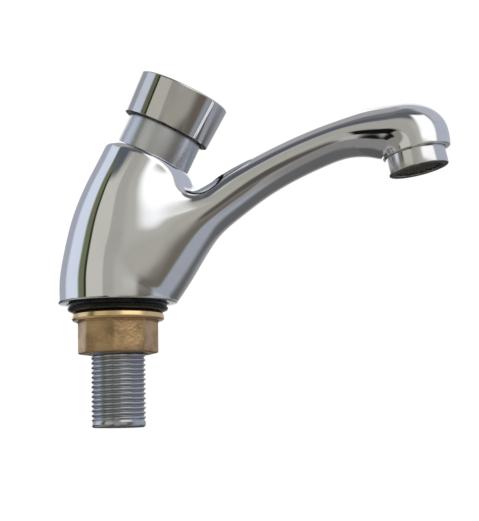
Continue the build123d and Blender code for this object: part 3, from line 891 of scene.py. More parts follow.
@dataclass(frozen=True)
class Moulded(Finish):
    """Rubber, fibre or plastic: fine grain, slight mottle and a dusty bloom."""

    name: str
    tint: Colour
    bloom: Colour
    rough: float = 0.5
    grain_size: float = 0.8
    grain_depth: float = 0.03
    gleam: float = 0.5

    def make(self) -> bpy.types.Material:
        """Builds the material.

        Returns:
            The material.
        """
        material, wiring, spot = self.begin()
        grain = EFFECTS.place(wiring, Effect.GRAIN, spot, Size=self.grain_size)
        marks = EFFECTS.place(wiring, Effect.HANDLING, spot, Size=7.0)
        dusty = wiring.math("MAXIMUM", wiring.span(grain["Mottle"], 0.5, 0.8), marks["Smudge"])
        colour = wiring.mix(dusty, self.tint, self.bloom)
        rough = wiring.math("MULTIPLY_ADD", marks["Smudge"], 0.18, self.rough)
        normal = wiring.bump(grain["Height"], 0.7, self.grain_depth)
        self.end(wiring, Base_Color=colour, Roughness=rough, Normal=normal, Specular_IOR_Level=self.gleam)
        return material


@dataclass(frozen=True)
class InnerMetal(Finish):
    """Machined brass or steel of the parts inside."""

    name: str
    tint: Colour
    stain: Colour
    rough: float = 0.26
    axis: tuple[float, float, float] = UPRIGHT

    def make(self) -> bpy.types.Material:
        """Builds the material.

        Returns:
            The material.
        """
        material, wiring, spot = self.begin()
        lathe = EFFECTS.place(wiring, Effect.LATHE, spot, Axis=self.axis, Pitch=0.25)
        grain = EFFECTS.place(wiring, Effect.GRAIN, spot, Size=1.2)
        marks = EFFECTS.place(wiring, Effect.HANDLING, spot, Size=5.0)
        colour = wiring.mix(wiring.span(grain["Mottle"], 0.4, 0.75), self.tint, self.stain)
        rough = wiring.math("MULTIPLY_ADD", marks["Smudge"], 0.2, self.rough)
        normal = wiring.bump(lathe["Height"], 0.8, 0.015)
        self.end(wiring, Base_Color=colour, Metallic=1.0, Roughness=rough, Normal=normal)
        return material


CHROME_TINT = 0.8
LEANING = tuple(PLUNGE.along)
BRASS = shade(0.66, 0.47, 0.23), shade(0.45, 0.31, 0.16)
STEEL = shade(0.62, 0.62, 0.63), shade(0.48, 0.48, 0.49)
# Steel of the aerator's grid, darkened as painted shade in the aerator's mouth
MOUTH_SHADE_STEEL = shade(0.2, 0.19, 0.17), shade(0.12, 0.12, 0.11)
BLACK = shade(0.003, 0.004, 0.004), shade(0.01, 0.01, 0.011)
CHARCOAL = shade(0.02, 0.02, 0.022), shade(0.05, 0.05, 0.052)
RED_FIBRE = shade(0.28, 0.07, 0.04), shade(0.36, 0.12, 0.08)
# Plastic of the aerator's insert, darkened as painted shade in the aerator's mouth
MOUTH_SHADE_PLASTIC = shade(0.12, 0.12, 0.11), shade(0.09, 0.09, 0.08)
# Near-black of the painted shade in the gap under the knob
GAP_SHADE = shade(0.05, 0.05, 0.055), shade(0.03, 0.03, 0.03)
# Dark colour of painted shade on the aerator ring's downward face
RING_FACE_SHADE = shade(0.17, 0.16, 0.14), shade(0.12, 0.11, 0.1)
TURNED = {"axis": LEANING, "wave_depth": 0.0}

FINISHES = {
    Slot.CAST_CHROME: Chrome("cast_chrome"),
    Slot.TURNED_CHROME: Chrome("turned_chrome", lathe_depth=0.002, **TURNED),
    Slot.NUT_BRASS: CastBrass("nut_brass"),
    Slot.TAIL_ZINC: ThreadZinc("tail_zinc"),
    Slot.BLACK_RUBBER: Moulded("black_rubber", *BLACK, 0.26, gleam=0.22),
    Slot.SEAL_RUBBER: Moulded("seal_rubber", *CHARCOAL, 0.5),
    Slot.SEAL_FIBRE: Moulded("seal_fibre", *RED_FIBRE, 0.75, 1.4, 0.06),
    Slot.INNER_BRASS: InnerMetal("inner_brass", *BRASS, axis=LEANING),
    Slot.INNER_STEEL: InnerMetal("inner_steel", *STEEL, axis=LEANING),
    Slot.AERATOR_PLASTIC: Moulded("aerator_plastic", *MOUTH_SHADE_PLASTIC, 0.4, 1.6, 0.02),
    Slot.MESH_STEEL: InnerMetal("mesh_steel", *MOUTH_SHADE_STEEL, 0.4),
}
KNOB_CHROME = Chrome("knob_chrome", shade(0.64, 0.64, 0.64), lathe_depth=0.002, **TURNED)
SATIN_CHROME = Chrome("satin_chrome", shade(0.62, 0.64, 0.68), gloss=0.3, **TURNED)
RING_CHROME = Chrome("ring_chrome", shade(0.74, 0.74, 0.75), gloss=0.13, wave_depth=0.0)
# Painted shade: the knob's underside and lowest bevel show as the dark gap line above the collar
KNOB_GAP_SHADE = InnerMetal("knob_gap_painted_shade", *GAP_SHADE, 0.5, axis=LEANING)
# Painted shade: the finish of the ring's downward face
AERATOR_FACE_SHADE = InnerMetal("aerator_face_painted_shade", *RING_FACE_SHADE, 0.45)


@dataclass
class Assembly:
    """What the sub-assemblies share: the finishes by slot, and how a piece is dressed."""

    finishes: dict[Slot, bpy.types.Material]

    def dress(
        self, piece: bpy.types.Object, body: Body, slot: Slot, own: Finish | None = None
    ) -> bpy.types.Object:
        """Gives a piece its finish and lets it ride on its body.

        Args:
            piece: The piece.
            body: The body that it moves with.
            slot: Its material slot.
            own: Its own finish, where it differs from the slot's.

        Returns:
            The piece.
        """
        piece.data.materials.append(own.make() if own else self.finishes[slot])
        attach(piece, body.value)
        LOG.info("%s rides on %s", piece.name, body.value)
        return piece

    @staticmethod
    def paint_low_end_shade(piece: bpy.types.Object, spindle: Spindle, level: float, finish: Finish) -> None:
        """Gives the faces at a turned piece's low end a second, darker finish that paints shade on them.

        Args:
            piece: The piece, with its first finish already in place.
            spindle: Its axis.
            level: Height along the axis below which faces take the painted shade.
            finish: The dark finish that paints the shade.
        """
        piece.data.materials.append(finish.make())
        # Painted shade: faces below the level take the dark finish
        for face in piece.data.polygons:
            if spindle.height_of(np.array(face.center)[None] / MM)[0] < level:
                face.material_index = 1


@dataclass
class Casting(Assembly):
    """The cast body: a foot that bends into the leaning neck, and the spout that grows out of both.

    The foot, the neck and the spout's root are one smooth skin. A coarse cage branches into neck and spout,
    is subdivided, and then laid on the blend of the two tubes. The spout goes on as rings to the hood.
    """

    foot_radius: float = 23.0
    foot_edge: float = 0.7
    neck_radius: float = 19.2
    rim_edge: float = 4.0
    front_edge: float = 2.3
    crotch_edge: float = 5.6
    hood_radius: float = 13.1
    hood_edge: float = 0.35
    recess_radius: float = 19.6
    recess: float = 1.6
    socket_radius: float = 10.44
    socket: float = 10.0
    mouth_radius: float = 11.75
    mouth: float = 1.2
    thread_radius: float = 11.24
    thread: float = 7.0
    crotch_blend: float = 5.4
    flank_blend: float = 15.0
    flank_ramp: Corner = (6.0, 15.5)
    blend_ramp: Corner = (0.0, 36.0)
    back_ramp: Corner = (0.1, 0.9)
    crotch_ramp: Corner = (0.3, 0.95)
    bore: tuple[Corner, ...] = (
        (14.44, 0.0), (14.44, -10.0), (11.8, -10.0), (11.8, -29.5), (8.5, -29.5), (8.5, -44.4), (0.0, -44.4),
    )
    trunk: tuple[Section, ...] = (
        Section(0.0, -6.0, 90.0, 23.0, 23.0),
        Section(0.0, 2.0, 90.0, 23.0, 23.0),
        Section(0.0, 9.0, 90.0, 22.95, 22.95),
        Section(0.74, 16.8, 83.0, 22.2, 22.9),
        Section(2.22, 26.5, 75.4, 21.2, 22.5),
        Section(3.83, 33.7, 68.0, 20.1, 22.1),
        Section(6.17, 40.24, 63.5, 19.4, 21.6),
        Section(10.2, 48.3, 63.5, 19.2, 20.2),
        Section(16.9, 61.7, 63.5, 19.2, 17.2),
    )
    spout: tuple[Section, ...] = (
        Section(2.99, 0.0, 90.0, 19.8, 18.4),
        Section(11.3, 13.0, 75.0, 18.0, 18.6),
        Section(20.2, 23.97, 60.0, 15.5, 17.2),
        Section(29.5, 32.05, 46.0, 12.5, 15.3),
        Section(37.7, 35.7, 34.0, 9.35, 13.8),
        Section(45.2, 40.7, 31.5, 8.8, 13.1),
        Section(55.0, 46.7, 27.7, 8.2, 12.5),
        Section(66.4, 52.4, 22.8, 7.75, 12.1),
        Section(80.2, 58.0, 19.0, 7.5, 12.0),
        Section(88.5, 60.5, 16.5, 7.65, 12.1),
        Section(97.4, 61.7, 9.0, 8.95, 12.55),
        Section(104.0, 62.1, -14.0, 10.2, 12.95),
        Section(110.72, 61.78, -38.0, 12.65, 13.2),
        Section(115.02, 58.54, -60.0, 13.8, 13.3),
        Section(116.02, 53.98, -78.5, 13.1, 13.1),
    )
    branch_knot: float = 6.0
    spout_rings: int = 84
    least_step: float = 0.3
    foot_rings: tuple[Oval, ...] = (
        ((23.0, 0.7), (-23.0, 0.7), 23.0),
        ((26.8, 5.0), (-23.0, 5.0), 23.0),
        ((32.0, 13.6), (-22.4, 13.0), 22.8),
        ((38.8, 23.3), (-20.5, 24.0), 21.6),
        ((47.0, 31.2), (-16.4, 36.0), 18.6),
    )
    saddle: Corner = (31.6, 43.0)
    saddle_power: float = 2.2
    neck_rings: tuple[tuple[float, float, float], ...] = (
        (19.9, -3.4, -14.0),
        (19.2, -2.6, -5.5),
        (18.3, -1.0, -1.0),
        (16.0, 0.0, 0.0),
    )
    spout_cage: tuple[Oval, ...] = (
        ((49.6, 33.0), (34.6, 44.5), 14.4),
        ((53.2, 35.6), (40.2, 47.9), 13.8),
    )
    cage_sides: int = 16
    branch_sides: int = 3
    subdivisions: int = 3
    _trunk_duct: Duct = field(init=False, repr=False)
    _spout_duct: Duct = field(init=False, repr=False)

    def __post_init__(self) -> None:
        """Samples the two tubes."""
        self._trunk_duct = Duct(self.trunk)
        self._spout_duct = Duct(self.spout)

    def skin(self, points: np.ndarray) -> np.ndarray:
        """Measures points against the blended body.

        Args:
            points: Points, one row each.

        Returns:
            About how far each lies outside; negative inside.
        """
        tube = self._trunk_duct.gap(points)
        top = PLUNGE.height_of(points)
        # The rim is rounded least at its front and far side, and most towards the spout
        place = PLUNGE.across_of(points) / self.neck_radius
        edge = self.front_edge + (self.rim_edge - self.front_edge) * eased(-place, *self.back_ramp)
        edge = edge + (self.crotch_edge - self.front_edge) * eased(place, *self.crotch_ramp)
        corner = np.hypot(np.maximum(tube + edge, 0), np.maximum(top + edge, 0)) - edge
        tube = np.where((tube > -edge) & (top > -edge), corner, np.maximum(tube, top))
        arm = self._spout_duct.gap(points)
        flank = eased(np.abs(points[:, 1]), *self.flank_ramp)
        blend = self.crotch_blend + (self.flank_blend - self.crotch_blend) * flank
        blend = np.maximum(blend * eased(points[:, 2], *self.blend_ramp), 1e-3)
        overlap = np.maximum(blend - np.abs(tube - arm), 0) / blend
        return np.minimum(tube, arm) - overlap**2 * blend / 4

    def settle(self, points: np.ndarray, rounds: int = 7) -> np.ndarray:
        """Moves points along the slope onto the skin.

        Args:
            points: Points near it, one row each.
            rounds: How often they move.

        Returns:
            The moved points.
        """
        step, least_slope, longest_move = 0.02, 0.05, 3.0
        for _ in range(rounds):
            move = np.clip(self.skin(points), -longest_move, longest_move)
            sides = [self.skin(points + axis * step) - self.skin(points - axis * step) for axis in np.eye(3)]
            slope = np.stack(sides, axis=1) / (2 * step)
            size = np.maximum(np.einsum("ij,ij->i", slope, slope), least_slope)
            points = points - slope * (move / size)[:, None]
        return points

    def cage(self) -> tuple[np.ndarray, list[Face]]:
        """The coarse cage: rings up the foot, which part at the saddle into the neck's and the spout's.

        Returns:
            Points and faces.
        """
        sides, half = self.cage_sides, self.branch_sides
        turns = np.arange(sides) * FULL_TURN / sides
        weave = Weave()

        rings = [weave.add(self.oval(row, turns)) for row in self.foot_rings]
        for first, second in zip(rings, rings[1:]):
            weave.join(first, second)
        split = rings[-1]
        # The saddle runs over the crotch, from one side of the split ring to the other
        side_spot = np.concatenate(weave.points)[split[half]]
        spread = np.arange(half - 1, -half, -1) / half
        rise = 1 - np.abs(spread) ** self.saddle_power
        ridge = np.stack(
            [
                side_spot[0] + (self.saddle[0] - side_spot[0]) * rise,
                side_spot[1] * np.sin(spread * math.pi / 2),
                side_spot[2] + (self.saddle[1] - side_spot[2]) * rise,
            ],
            axis=1,
        )
        saddle = weave.add(ridge)
        ridge_at = {place: saddle[half - 1 - place] for place in range(1 - half, half)}
        neck = [ridge_at[i] for i in range(half)] + split[half : sides - half + 1]
        neck += [ridge_at[i] for i in range(1 - half, 0)]
        for radius, front, back in self.neck_rings:
            height = back + (front - back) * (1 + np.cos(turns)) / 2
            ring = weave.add(PLUNGE.spots(radius, height, turns))
            weave.join(neck, ring)
            neck = ring
        arm = split[: half + 1] + saddle + split[sides - half :]
        angles = np.arange(len(arm)) * FULL_TURN / len(arm)
        for row in self.spout_cage:
            ring = weave.add(self.oval(row, angles))
            weave.join(arm, ring)
            arm = ring
        ring = weave.add(self._spout_duct.ring(self.branch_knot, angles))
        weave.join(arm, ring)
        return np.concatenate(weave.points), weave.faces

    @staticmethod
    def oval(row: Oval, angles: np.ndarray) -> np.ndarray:
        """Ring of the cage.

        Args:
            row: Its front and its back point in the XZ plane, and its half width.
            angles: Angles in radians, running from the front towards +Y.

        Returns:
            The ring's points.
        """
        front, back, width = row
        share = (1 + np.cos(angles)) / 2
        x = back[0] + (front[0] - back[0]) * share
        z = back[1] + (front[1] - back[1]) * share
        return np.stack([x, width * np.sin(angles), z], axis=1)

    def branch(self) -> tuple[np.ndarray, list[Face], list[list[int]]]:
        """The smooth skin round the branch, with open edges at foot, rim and spout.

        Returns:
            Points, faces, and the three open edges in that order, each going round as the rings do.
        """
        points, faces = self.cage()
        mesh = bpy.data.meshes.new("cage")
        mesh.from_pydata(points.tolist(), [], faces)
        holder = bpy.data.objects.new("cage", mesh)
        bpy.context.scene.collection.objects.link(holder)
        finer = holder.modifiers.new("finer", "SUBSURF")
        finer.levels = finer.render_levels = self.subdivisions
        made = holder.evaluated_get(bpy.context.evaluated_depsgraph_get()).to_mesh()
        points = np.array([v.co for v in made.vertices], float)
        faces = [tuple(p.vertices) for p in made.polygons]
        bpy.data.objects.remove(holder)
        loops = open_edges(faces)
        points = self.settle(points)
        centres = [points[loop].mean(axis=0) for loop in loops]
        foot = loops[int(np.argmin([c[2] for c in centres]))]
        spout = loops[int(np.argmax([c[0] for c in centres]))]
        rim = next(loop for loop in loops if loop is not foot and loop is not spout)
        turns = DECK.turn_of(points[foot])
        points[foot] = DECK.spots(self.foot_radius, self.foot_edge, turns)
        turns = PLUNGE.turn_of(points[rim])
        points[rim] = PLUNGE.spots(self.neck_radius - self.rim_edge, 0.0, turns)
        turns = self.spout_turns(points[spout])
        points[spout] = self._spout_duct.ring(self.branch_knot, turns)
        return points, faces, [foot, rim, spout]

    def spout_turns(self, points: np.ndarray) -> np.ndarray:
        """Measures where points lie round the spout's section at which the rings take over.

        Args:
            points: Points near that section, one row each.

        Returns:
            Their angles in radians, running from the underside towards +Y.
        """
        probe = self._spout_duct.ring(self.branch_knot, np.arange(4) * math.pi / 2)
        centre = probe.mean(axis=0)
        down, side = probe[0] - centre, probe[1] - centre
        away = points - centre
        return np.arctan2(away @ side / (side @ side), away @ down / (down @ down))

    def spout_lines(self, turns: np.ndarray) -> np.ndarray:
        """Points of the spout's rings from the branch to the hood.

        Inside the tight bend at the hood the rings crowd, so along each line they spread back a least step.

        Args:
            turns: Angles of the lines.

        Returns:
            Points by ring, by line and by axis.
        """
        knots = np.linspace(self.branch_knot, len(self.spout) - 1, self.spout_rings + 1)[1:]
        lines = np.array([self._spout_duct.ring(knot, turns) for knot in knots])
        steps = np.linalg.norm(np.diff(lines, axis=0), axis=2)
        runs = np.concatenate([np.zeros((1, len(turns))), np.cumsum(steps, axis=0)])
        places = runs.copy()
        for row in range(len(runs) - 2, 0, -1):
            places[row] = np.minimum(places[row], places[row + 1] - self.least_step)
        for j in range(len(turns)):
            line = lines[:, j].copy()
            for axis in range(3):
                lines[:, j, axis] = np.interp(places[:, j], runs[:, j], line[:, axis])
        return lines

    def body(self) -> bpy.types.Object:
        """The whole casting, with its bores closed inside.

        Returns:
            The piece.
        """
        points, faces, (foot, rim, spout) = self.branch()
        weave = Weave(points, faces)
        turns = self.spout_turns(points[spout])
        loop = spout
        for spots in self.spout_lines(turns):
            ring = weave.add(spots)
            weave.join(loop, ring)
            loop = ring
        loop = weave.carry(loop, HOOD, turns, low_edge(self.hood_radius, self.hood_edge))
        mouth = [
            (self.mouth_radius, 0.0),
            (self.mouth_radius, self.mouth),
            (self.thread_radius, self.mouth),
            (self.thread_radius, self.thread),
            (0.0, self.thread),
        ]
        weave.grow(loop, JET, turns, mouth)
        below = low_edge(self.foot_radius, self.foot_edge) + [
            (self.recess_radius, 0.0),
            (self.recess_radius, self.recess),
            (self.socket_radius, self.recess),
            (self.socket_radius, self.socket),
            (0.0, self.socket),
        ]
        weave.grow(foot, DECK, DECK.turn_of(points[foot]), below)
        weave.grow(rim, PLUNGE, PLUNGE.turn_of(points[rim]), list(self.bore))
        piece = weave.piece("body_casting_skin", 40.0)
        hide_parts("body_casting")
        return piece

    def build(self) -> None:
        """Makes and dresses the casting."""
        self.dress(self.body(), Body.ROOT, Slot.CAST_CHROME)


def open_edges(faces: list[Face]) -> list[list[int]]:
    """Finds the loops of edges that only one face uses.

    Args:
        faces: Corner numbers of each face.

    Returns:
        Corner numbers of each loop, going round as its faces do.
    """
    used = dict.fromkeys(pair for face in faces for pair in zip(face, face[1:] + face[:1]))
    ahead = {a: b for a, b in used if (b, a) not in used}
    loops = []
    while ahead:
        start = next(iter(ahead))
        loop = [start]
        spot = ahead.pop(start)
        while spot != start:
            loop.append(spot)
            spot = ahead.pop(spot)
        loops.append(loop)
    return loops


@dataclass
class Headwork(Assembly):
    """The knob and the collar on the leaning spindle, and the spring between them."""

    collar_radius: float = 14.85
    collar_bore: float = 12.2
    collar_height: float = 14.0
    spigot_radius: float = 14.4
    spigot: float = 8.0
    knob_low_radius: float = 17.35
    knob_high_radius: float = 18.4
    knob_low: float = 12.0
    knob_high: float = 29.2
    skirt_radius: float = 15.2
    knob_roof: float = 26.8
    bevel: float = 0.35
    crown_inset: float = 3.0
    crown_drop: float = 0.06
    boss_radius: float = 5.2
    boss_low: float = 20.0
    rod_radius: float = 3.0
    spring_radius: float = 7.2
    spring_wire: float = 1.2
    spring_low: float = 7.4
    spring_turns: int = 6
    spring_steps: int = 40
    wire_sides: int = 12
    stroke: float = 7.0
    painted_shade_band: float = 0.22

    def collar(self) -> bpy.types.Object:
        """Chrome collar, with a small turned edge at its top.

        Returns:
            The piece.
        """
        outline = (
            Outline()
            .to(self.collar_bore, -self.spigot)
            .to(self.spigot_radius, -self.spigot, 0.3)
            .to(self.spigot_radius, 0.0)
            .to(self.collar_radius, 0.0, 0.12)
            .to(self.collar_radius, self.collar_height, 0.5)
            .to(self.collar_bore, self.collar_height, 0.2)
        )
        piece = turned("bonnet_collar_skin", PLUNGE, outline.points())
        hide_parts("bonnet_collar")
        return piece

    def knob(self) -> bpy.types.Object:
        """Chrome knob: tapered skirt, bevelled edges and a crown with the faintest dome.

        Returns:
            The piece.
        """
        outline = (
            Outline(steps=6)
            .to(self.rod_radius, self.boss_low)
            .to(self.boss_radius, self.boss_low, 0.3)
            .to(self.boss_radius, self.knob_roof, 0.4)
            .to(self.skirt_radius, self.knob_roof, 0.4)
            .to(self.skirt_radius, self.knob_low)
            .to(self.knob_low_radius, self.knob_low, 0.55)
            .to(self.knob_high_radius, self.knob_high - self.bevel, 0.75)
            .to(self.knob_high_radius - self.crown_inset, self.knob_high - self.crown_drop, 2.0)
            .to(0.0, self.knob_high)
            .to(0.0, self.knob_roof)
            .to(self.rod_radius, self.knob_roof)
        )
        piece = turned("push_knob_skin", PLUNGE, outline.points(), sides=192)
        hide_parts("push_knob")
        return piece

    def spring(self) -> bpy.types.Object:
        """Coil spring, its ends closed flat.

        Returns:
            The piece.
        """
        share = np.linspace(0, 1, self.spring_turns * self.spring_steps + 1)
        climb = self.spring_low + self.spring_wire / 2 + (self.spring_room - self.spring_wire) * share
        line = PLUNGE.spots(self.spring_radius, climb, share * self.spring_turns * FULL_TURN)
        ahead = np.gradient(line, axis=0)
        ahead /= np.linalg.norm(ahead, axis=1)[:, None]
        out = line - PLUNGE.spots(0.0, climb, 0.0)
        out /= np.linalg.norm(out, axis=1)[:, None]
        weave = Weave()
        weave.wire(line, out, np.cross(ahead, out), self.spring_wire / 2, self.wire_sides)
        piece = weave.piece("return_spring_coil", 50.0)
        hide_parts("return_spring")
        return piece

    @property
    def spring_room(self) -> float:
        """Height between the spring's seat and the knob's roof."""
        return self.knob_roof - self.spring_low

    def build(self) -> None:
        """Makes and dresses the collar, the knob and the spring."""
        self.dress(self.collar(), Body.ROOT, Slot.TURNED_CHROME, SATIN_CHROME)
        knob = self.dress(self.knob(), Body.PLUNGER, Slot.TURNED_CHROME, KNOB_CHROME)
        # Painted shade on the knob's low end, for the dark gap line above the collar
        self.paint_low_end_shade(knob, PLUNGE, self.knob_low + self.painted_shade_band, KNOB_GAP_SHADE)
        spring = self.dress(self.spring(), Body.ROOT, Slot.INNER_STEEL)
        anchor = PLUNGE.spots(0.0, self.spring_low, 0.0) * MM
        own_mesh(spring)


@dataclass
class Outlet(Assembly):
    """The aerator under the hood: its ring and the woven grid in its mouth."""

    ring_radius: float = 11.5
    bore_radius: float = 9.8
    drop: float = 6.7
    sink: float = 1.2
    thread_radius: float = 11.2
    thread: float = 5.6
    lip: float = 0.9
    lip_height: float = 0.8
    grid_pitch: float = 1.25
    grid_wire: float = 0.42
    grid_lift: float = 1.05
    grid_gap: float = 0.15
    wave_steps: int = 6
    wire_sides: int = 6
    painted_shade_band: float = 0.15

    def ring(self) -> bpy.types.Object:
        """Chrome ring with softened edges and a lip that holds the grid.

        Returns:
            The piece.
        """
        outline = (
            Outline()
            .to(self.bore_radius - self.lip, -self.drop, 0.25)
            .to(self.ring_radius, -self.drop, 0.4)
            .to(self.ring_radius, self.sink, 0.2)
            .to(self.thread_radius, self.sink)
            .to(self.thread_radius, self.thread)
            .to(self.bore_radius, self.thread)
            .to(self.bore_radius, -self.drop + self.lip_height)
            .to(self.bore_radius - self.lip, -self.drop + self.lip_height, 0.15)
        )
        piece = turned("aerator_housing_skin", JET, outline.points())
        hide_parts("aerator_housing")
        return piece

    def grid(self) -> bpy.types.Object:
        """Woven wire grid: wires both ways, each passing over and under by turns.

        Returns:
            The piece.
        """
        weave = Weave()
        level = -self.drop + self.lip_height + self.grid_wire * self.grid_lift
        reach = self.bore_radius - self.grid_gap
        count = int(reach / self.grid_pitch)
        centre = JET.spots(0.0, level, 0.0)
        for along, across, phase in ((JET.across, SIDEWAYS, 0), (SIDEWAYS, JET.across, 1)):
            for place in range(-count, count + 1):
                offset = place * self.grid_pitch
                half = math.sqrt(max(reach**2 - offset**2, 0.0))
                if half < self.grid_pitch:
                    continue
                steps = max(int(half * self.wave_steps / self.grid_pitch), 4)
                run = np.arange(-half, half + 1e-6, 2 * half / steps)
                wave = np.cos(run / self.grid_pitch * math.pi) * (-1) ** (place + phase) * self.grid_wire / 2
                line = centre + run[:, None] * along + offset * across + wave[:, None] * JET.along
                out, side = (np.broadcast_to(way, line.shape) for way in (across, JET.along))
                weave.wire(line, out, side, self.grid_wire / 2, self.wire_sides)
        piece = weave.piece("aerator_mesh_wires", 50.0)
        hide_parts("aerator_mesh")
        return piece

    def build(self) -> None:
        """Makes and dresses the ring and the grid."""
        ring = self.dress(self.ring(), Body.ROOT, Slot.TURNED_CHROME, RING_CHROME)
        # Painted shade on the ring's downward face
        self.paint_low_end_shade(ring, JET, self.painted_shade_band - self.drop, AERATOR_FACE_SHADE)
        self.dress(self.grid(), Body.ROOT, Slot.MESH_STEEL)


@dataclass
class Clamping(Assembly):
    """What holds the tap to the deck: two rubber rings, the backnut and the threaded tail."""

    hole_radius: float = 11.0
    gasket_radius: float = 18.8
    gasket_top: float = 1.6
    gasket_low: float = -1.4
    washer_radius: float = 19.35
    washer_foot_radius: float = 16.3
    washer_low: float = -3.7
    flange_radius: float = 17.8
    flange_low: float = -6.7
    nut_low: float = -19.2
    nut_half: float = 14.3
    nut_sides: int = 8
    nut_bore: float = 10.45
    nut_turn: float = 7.0
    nut_foot: tuple[Corner, ...] = ((2.6, 0.0), (0.75, 0.0), (0.35, 0.12), (0.1, 0.38), (0.0, 0.8))
    flat_sharpness: float = 90.0
    flat_ease: float = 1.004
    fillet: float = 1.0
    tail_radius: float = 10.4
    tail_bore: float = 7.0
    tail_low: float = -47.2
    tail_top: float = 8.6
    tail_land: float = 1.6
    pitch: float = 1.814
    thread_depth: float = 0.66
    thread_flatness: float = 1.4
    land_cut: float = 0.15
    chamfer: float = 0.6

    def gasket(self) -> bpy.types.Object:
        """Upper rubber ring, seated in the foot and rounded where it stands proud.

        Returns:
            The piece.
        """
        outline = (
            Outline()
            .to(self.hole_radius, self.gasket_low, 0.2)
            .to(self.gasket_radius, self.gasket_low, 0.2)
            .to(self.gasket_radius, self.gasket_top, 0.3)
            .to(self.hole_radius, self.gasket_top, 0.2)
        )
        piece = turned("base_gasket_ring", DECK, outline.points())
        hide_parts("base_gasket")
        return piece

    def washer(self) -> bpy.types.Object:
        """Lower rubber ring, tapered to the nut's flange.

        Returns:
            The piece.
        """
        outline = (
            Outline()
            .to(self.hole_radius, self.washer_low, 0.15)
            .to(self.washer_foot_radius, self.washer_low, 0.3)
            .to(self.washer_radius - 0.35, (self.washer_low + self.gasket_low) / 2 - 0.05, 0.7)
            .to(self.washer_radius, self.gasket_low - 0.5, 0.4)
            .to(self.washer_radius - 0.3, self.gasket_low, 0.25)
            .to(self.hole_radius, self.gasket_low, 0.15)
        )
        piece = turned("clamp_washer_ring", DECK, outline.points())
        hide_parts("clamp_washer")
        return piece

    def flats(self, turns: np.ndarray) -> np.ndarray:
        """Works out the nut's flats, their corners rounded as cast.

        Args:
            turns: Angles in radians.

        Returns:
            Radius at each angle.
        """
        step = FULL_TURN / self.nut_sides
        start = -math.pi / 2 + math.radians(self.nut_turn) + step / 2
        faces = start + np.arange(self.nut_sides) * step
        facing = np.maximum(np.cos(turns[:, None] - faces), 0)
        power = self.flat_sharpness
        return self.nut_half * self.flat_ease * (facing**power).sum(axis=1) ** (-1 / power)

    def nut(self) -> bpy.types.Object:
        """Brass backnut: eight cast flats under a turned flange.

        Returns:
            The piece.
        """
        sides = 256
        turns = np.arange(sides) * FULL_TURN / sides
        flats = self.flats(turns)
        rim = self.flange_radius
        flange = (
            Outline(steps=5)
            .to(self.nut_half - 1.0, self.flange_low - 0.2)
            .to(rim - 0.75, self.flange_low + 0.02, 0.3)
            .to(rim, self.flange_low + 0.7, 0.35)
            .to(rim - 0.2, self.washer_low - 0.65, 0.3)
            .to(rim - 0.6, self.washer_low, 0.25)
            .to(self.nut_bore + 0.5, self.washer_low)
            .points(closed=False)
        )
        low, high = self.nut_low, self.flange_low
        profile = [(flats - inset, low + rise) for inset, rise in self.nut_foot]
        profile += [(flats, low + (high - 1.2 - low) * share) for share in (0.3, 0.6, 0.9)]
        # Cast fillet that spreads from the flats to the flange
        for angle in np.linspace(0, math.pi / 2, 6):
            out, under = self.fillet * (1 - math.cos(angle)), self.fillet * (1 - math.sin(angle))
            profile.append((np.minimum(flats + out, rim - 1.0), high - under - 0.05))
        inner = self.nut_bore
        bore = [(inner, self.washer_low - 0.5), (inner, low + 0.9), (inner + 0.9, low)]
        weave = Weave()
        weave.close([weave.add(DECK.spots(r, h, turns)) for r, h in profile + flange[1:] + bore])
        piece = weave.piece("backnut_brass", 30.0)
        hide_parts("backnut")
        return piece

    def tail(self) -> bpy.types.Object:
        """Threaded tail with a true right-hand helix, rounded crests and roots.

        Returns:
            The piece.
        """
        sides, per_pitch = 112, 12
        turns = np.arange(sides) * FULL_TURN / sides
        low = self.tail_low + self.tail_land
        levels = np.arange(low, self.tail_top, self.pitch / per_pitch)
        end, soft, land = self.tail_low, self.chamfer, self.tail_radius - self.land_cut
        rings = [(self.tail_bore, end + soft), (self.tail_bore + soft, end), (land - soft, end)]
        rings += [(land, end + soft), (land, end + 1.0)]
        for level in levels:
            phase = (level / self.pitch - turns / FULL_TURN) % 1.0
            wave = 0.5 + 0.5 * np.cos(phase * FULL_TURN) * self.thread_flatness
            start = eased(np.array(level), low, low + self.pitch)
            cut = self.thread_depth * (1 - np.clip(wave, 0.03, 0.97))
            rings.append((self.tail_radius - cut * start - self.land_cut * (1 - start), level))
        rings += [(self.tail_radius - soft, self.tail_top), (self.tail_bore, self.tail_top)]
        weave = Weave()
        weave.close([weave.add(DECK.spots(r, h, turns)) for r, h in rings])
        piece = weave.piece("threaded_shank_tail", 60.0)
        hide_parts("threaded_shank")
        return piece

    def build(self) -> None:
        """Makes and dresses the rubber rings, the nut and the tail."""
        self.dress(self.gasket(), Body.ROOT, Slot.BLACK_RUBBER)
        self.dress(self.washer(), Body.WASHER, Slot.BLACK_RUBBER)
        self.dress(self.nut(), Body.NUT, Slot.NUT_BRASS)
        self.dress(self.tail(), Body.ROOT, Slot.TAIL_ZINC)


def seen(red: int, green: int, blue: int) -> Colour:
    """Light that a panel gives so that chrome shows it as that display colour, 0 to 255."""
    return shade(*((value / 255) ** 2.2 / CHROME_TINT for value in (red, green, blue)))


@dataclass(frozen=True)
class Panel:
    """Part of the room that chrome mirrors: its span in degrees round and up, its soft edges and its light.

    Azimuth 0 lies on the side that the photograph was taken from, and runs towards the outlet.
    """

    left: float
    right: float
    low: float
    high: float
    soft_sides: float
    soft_ends: float
    light: Colour


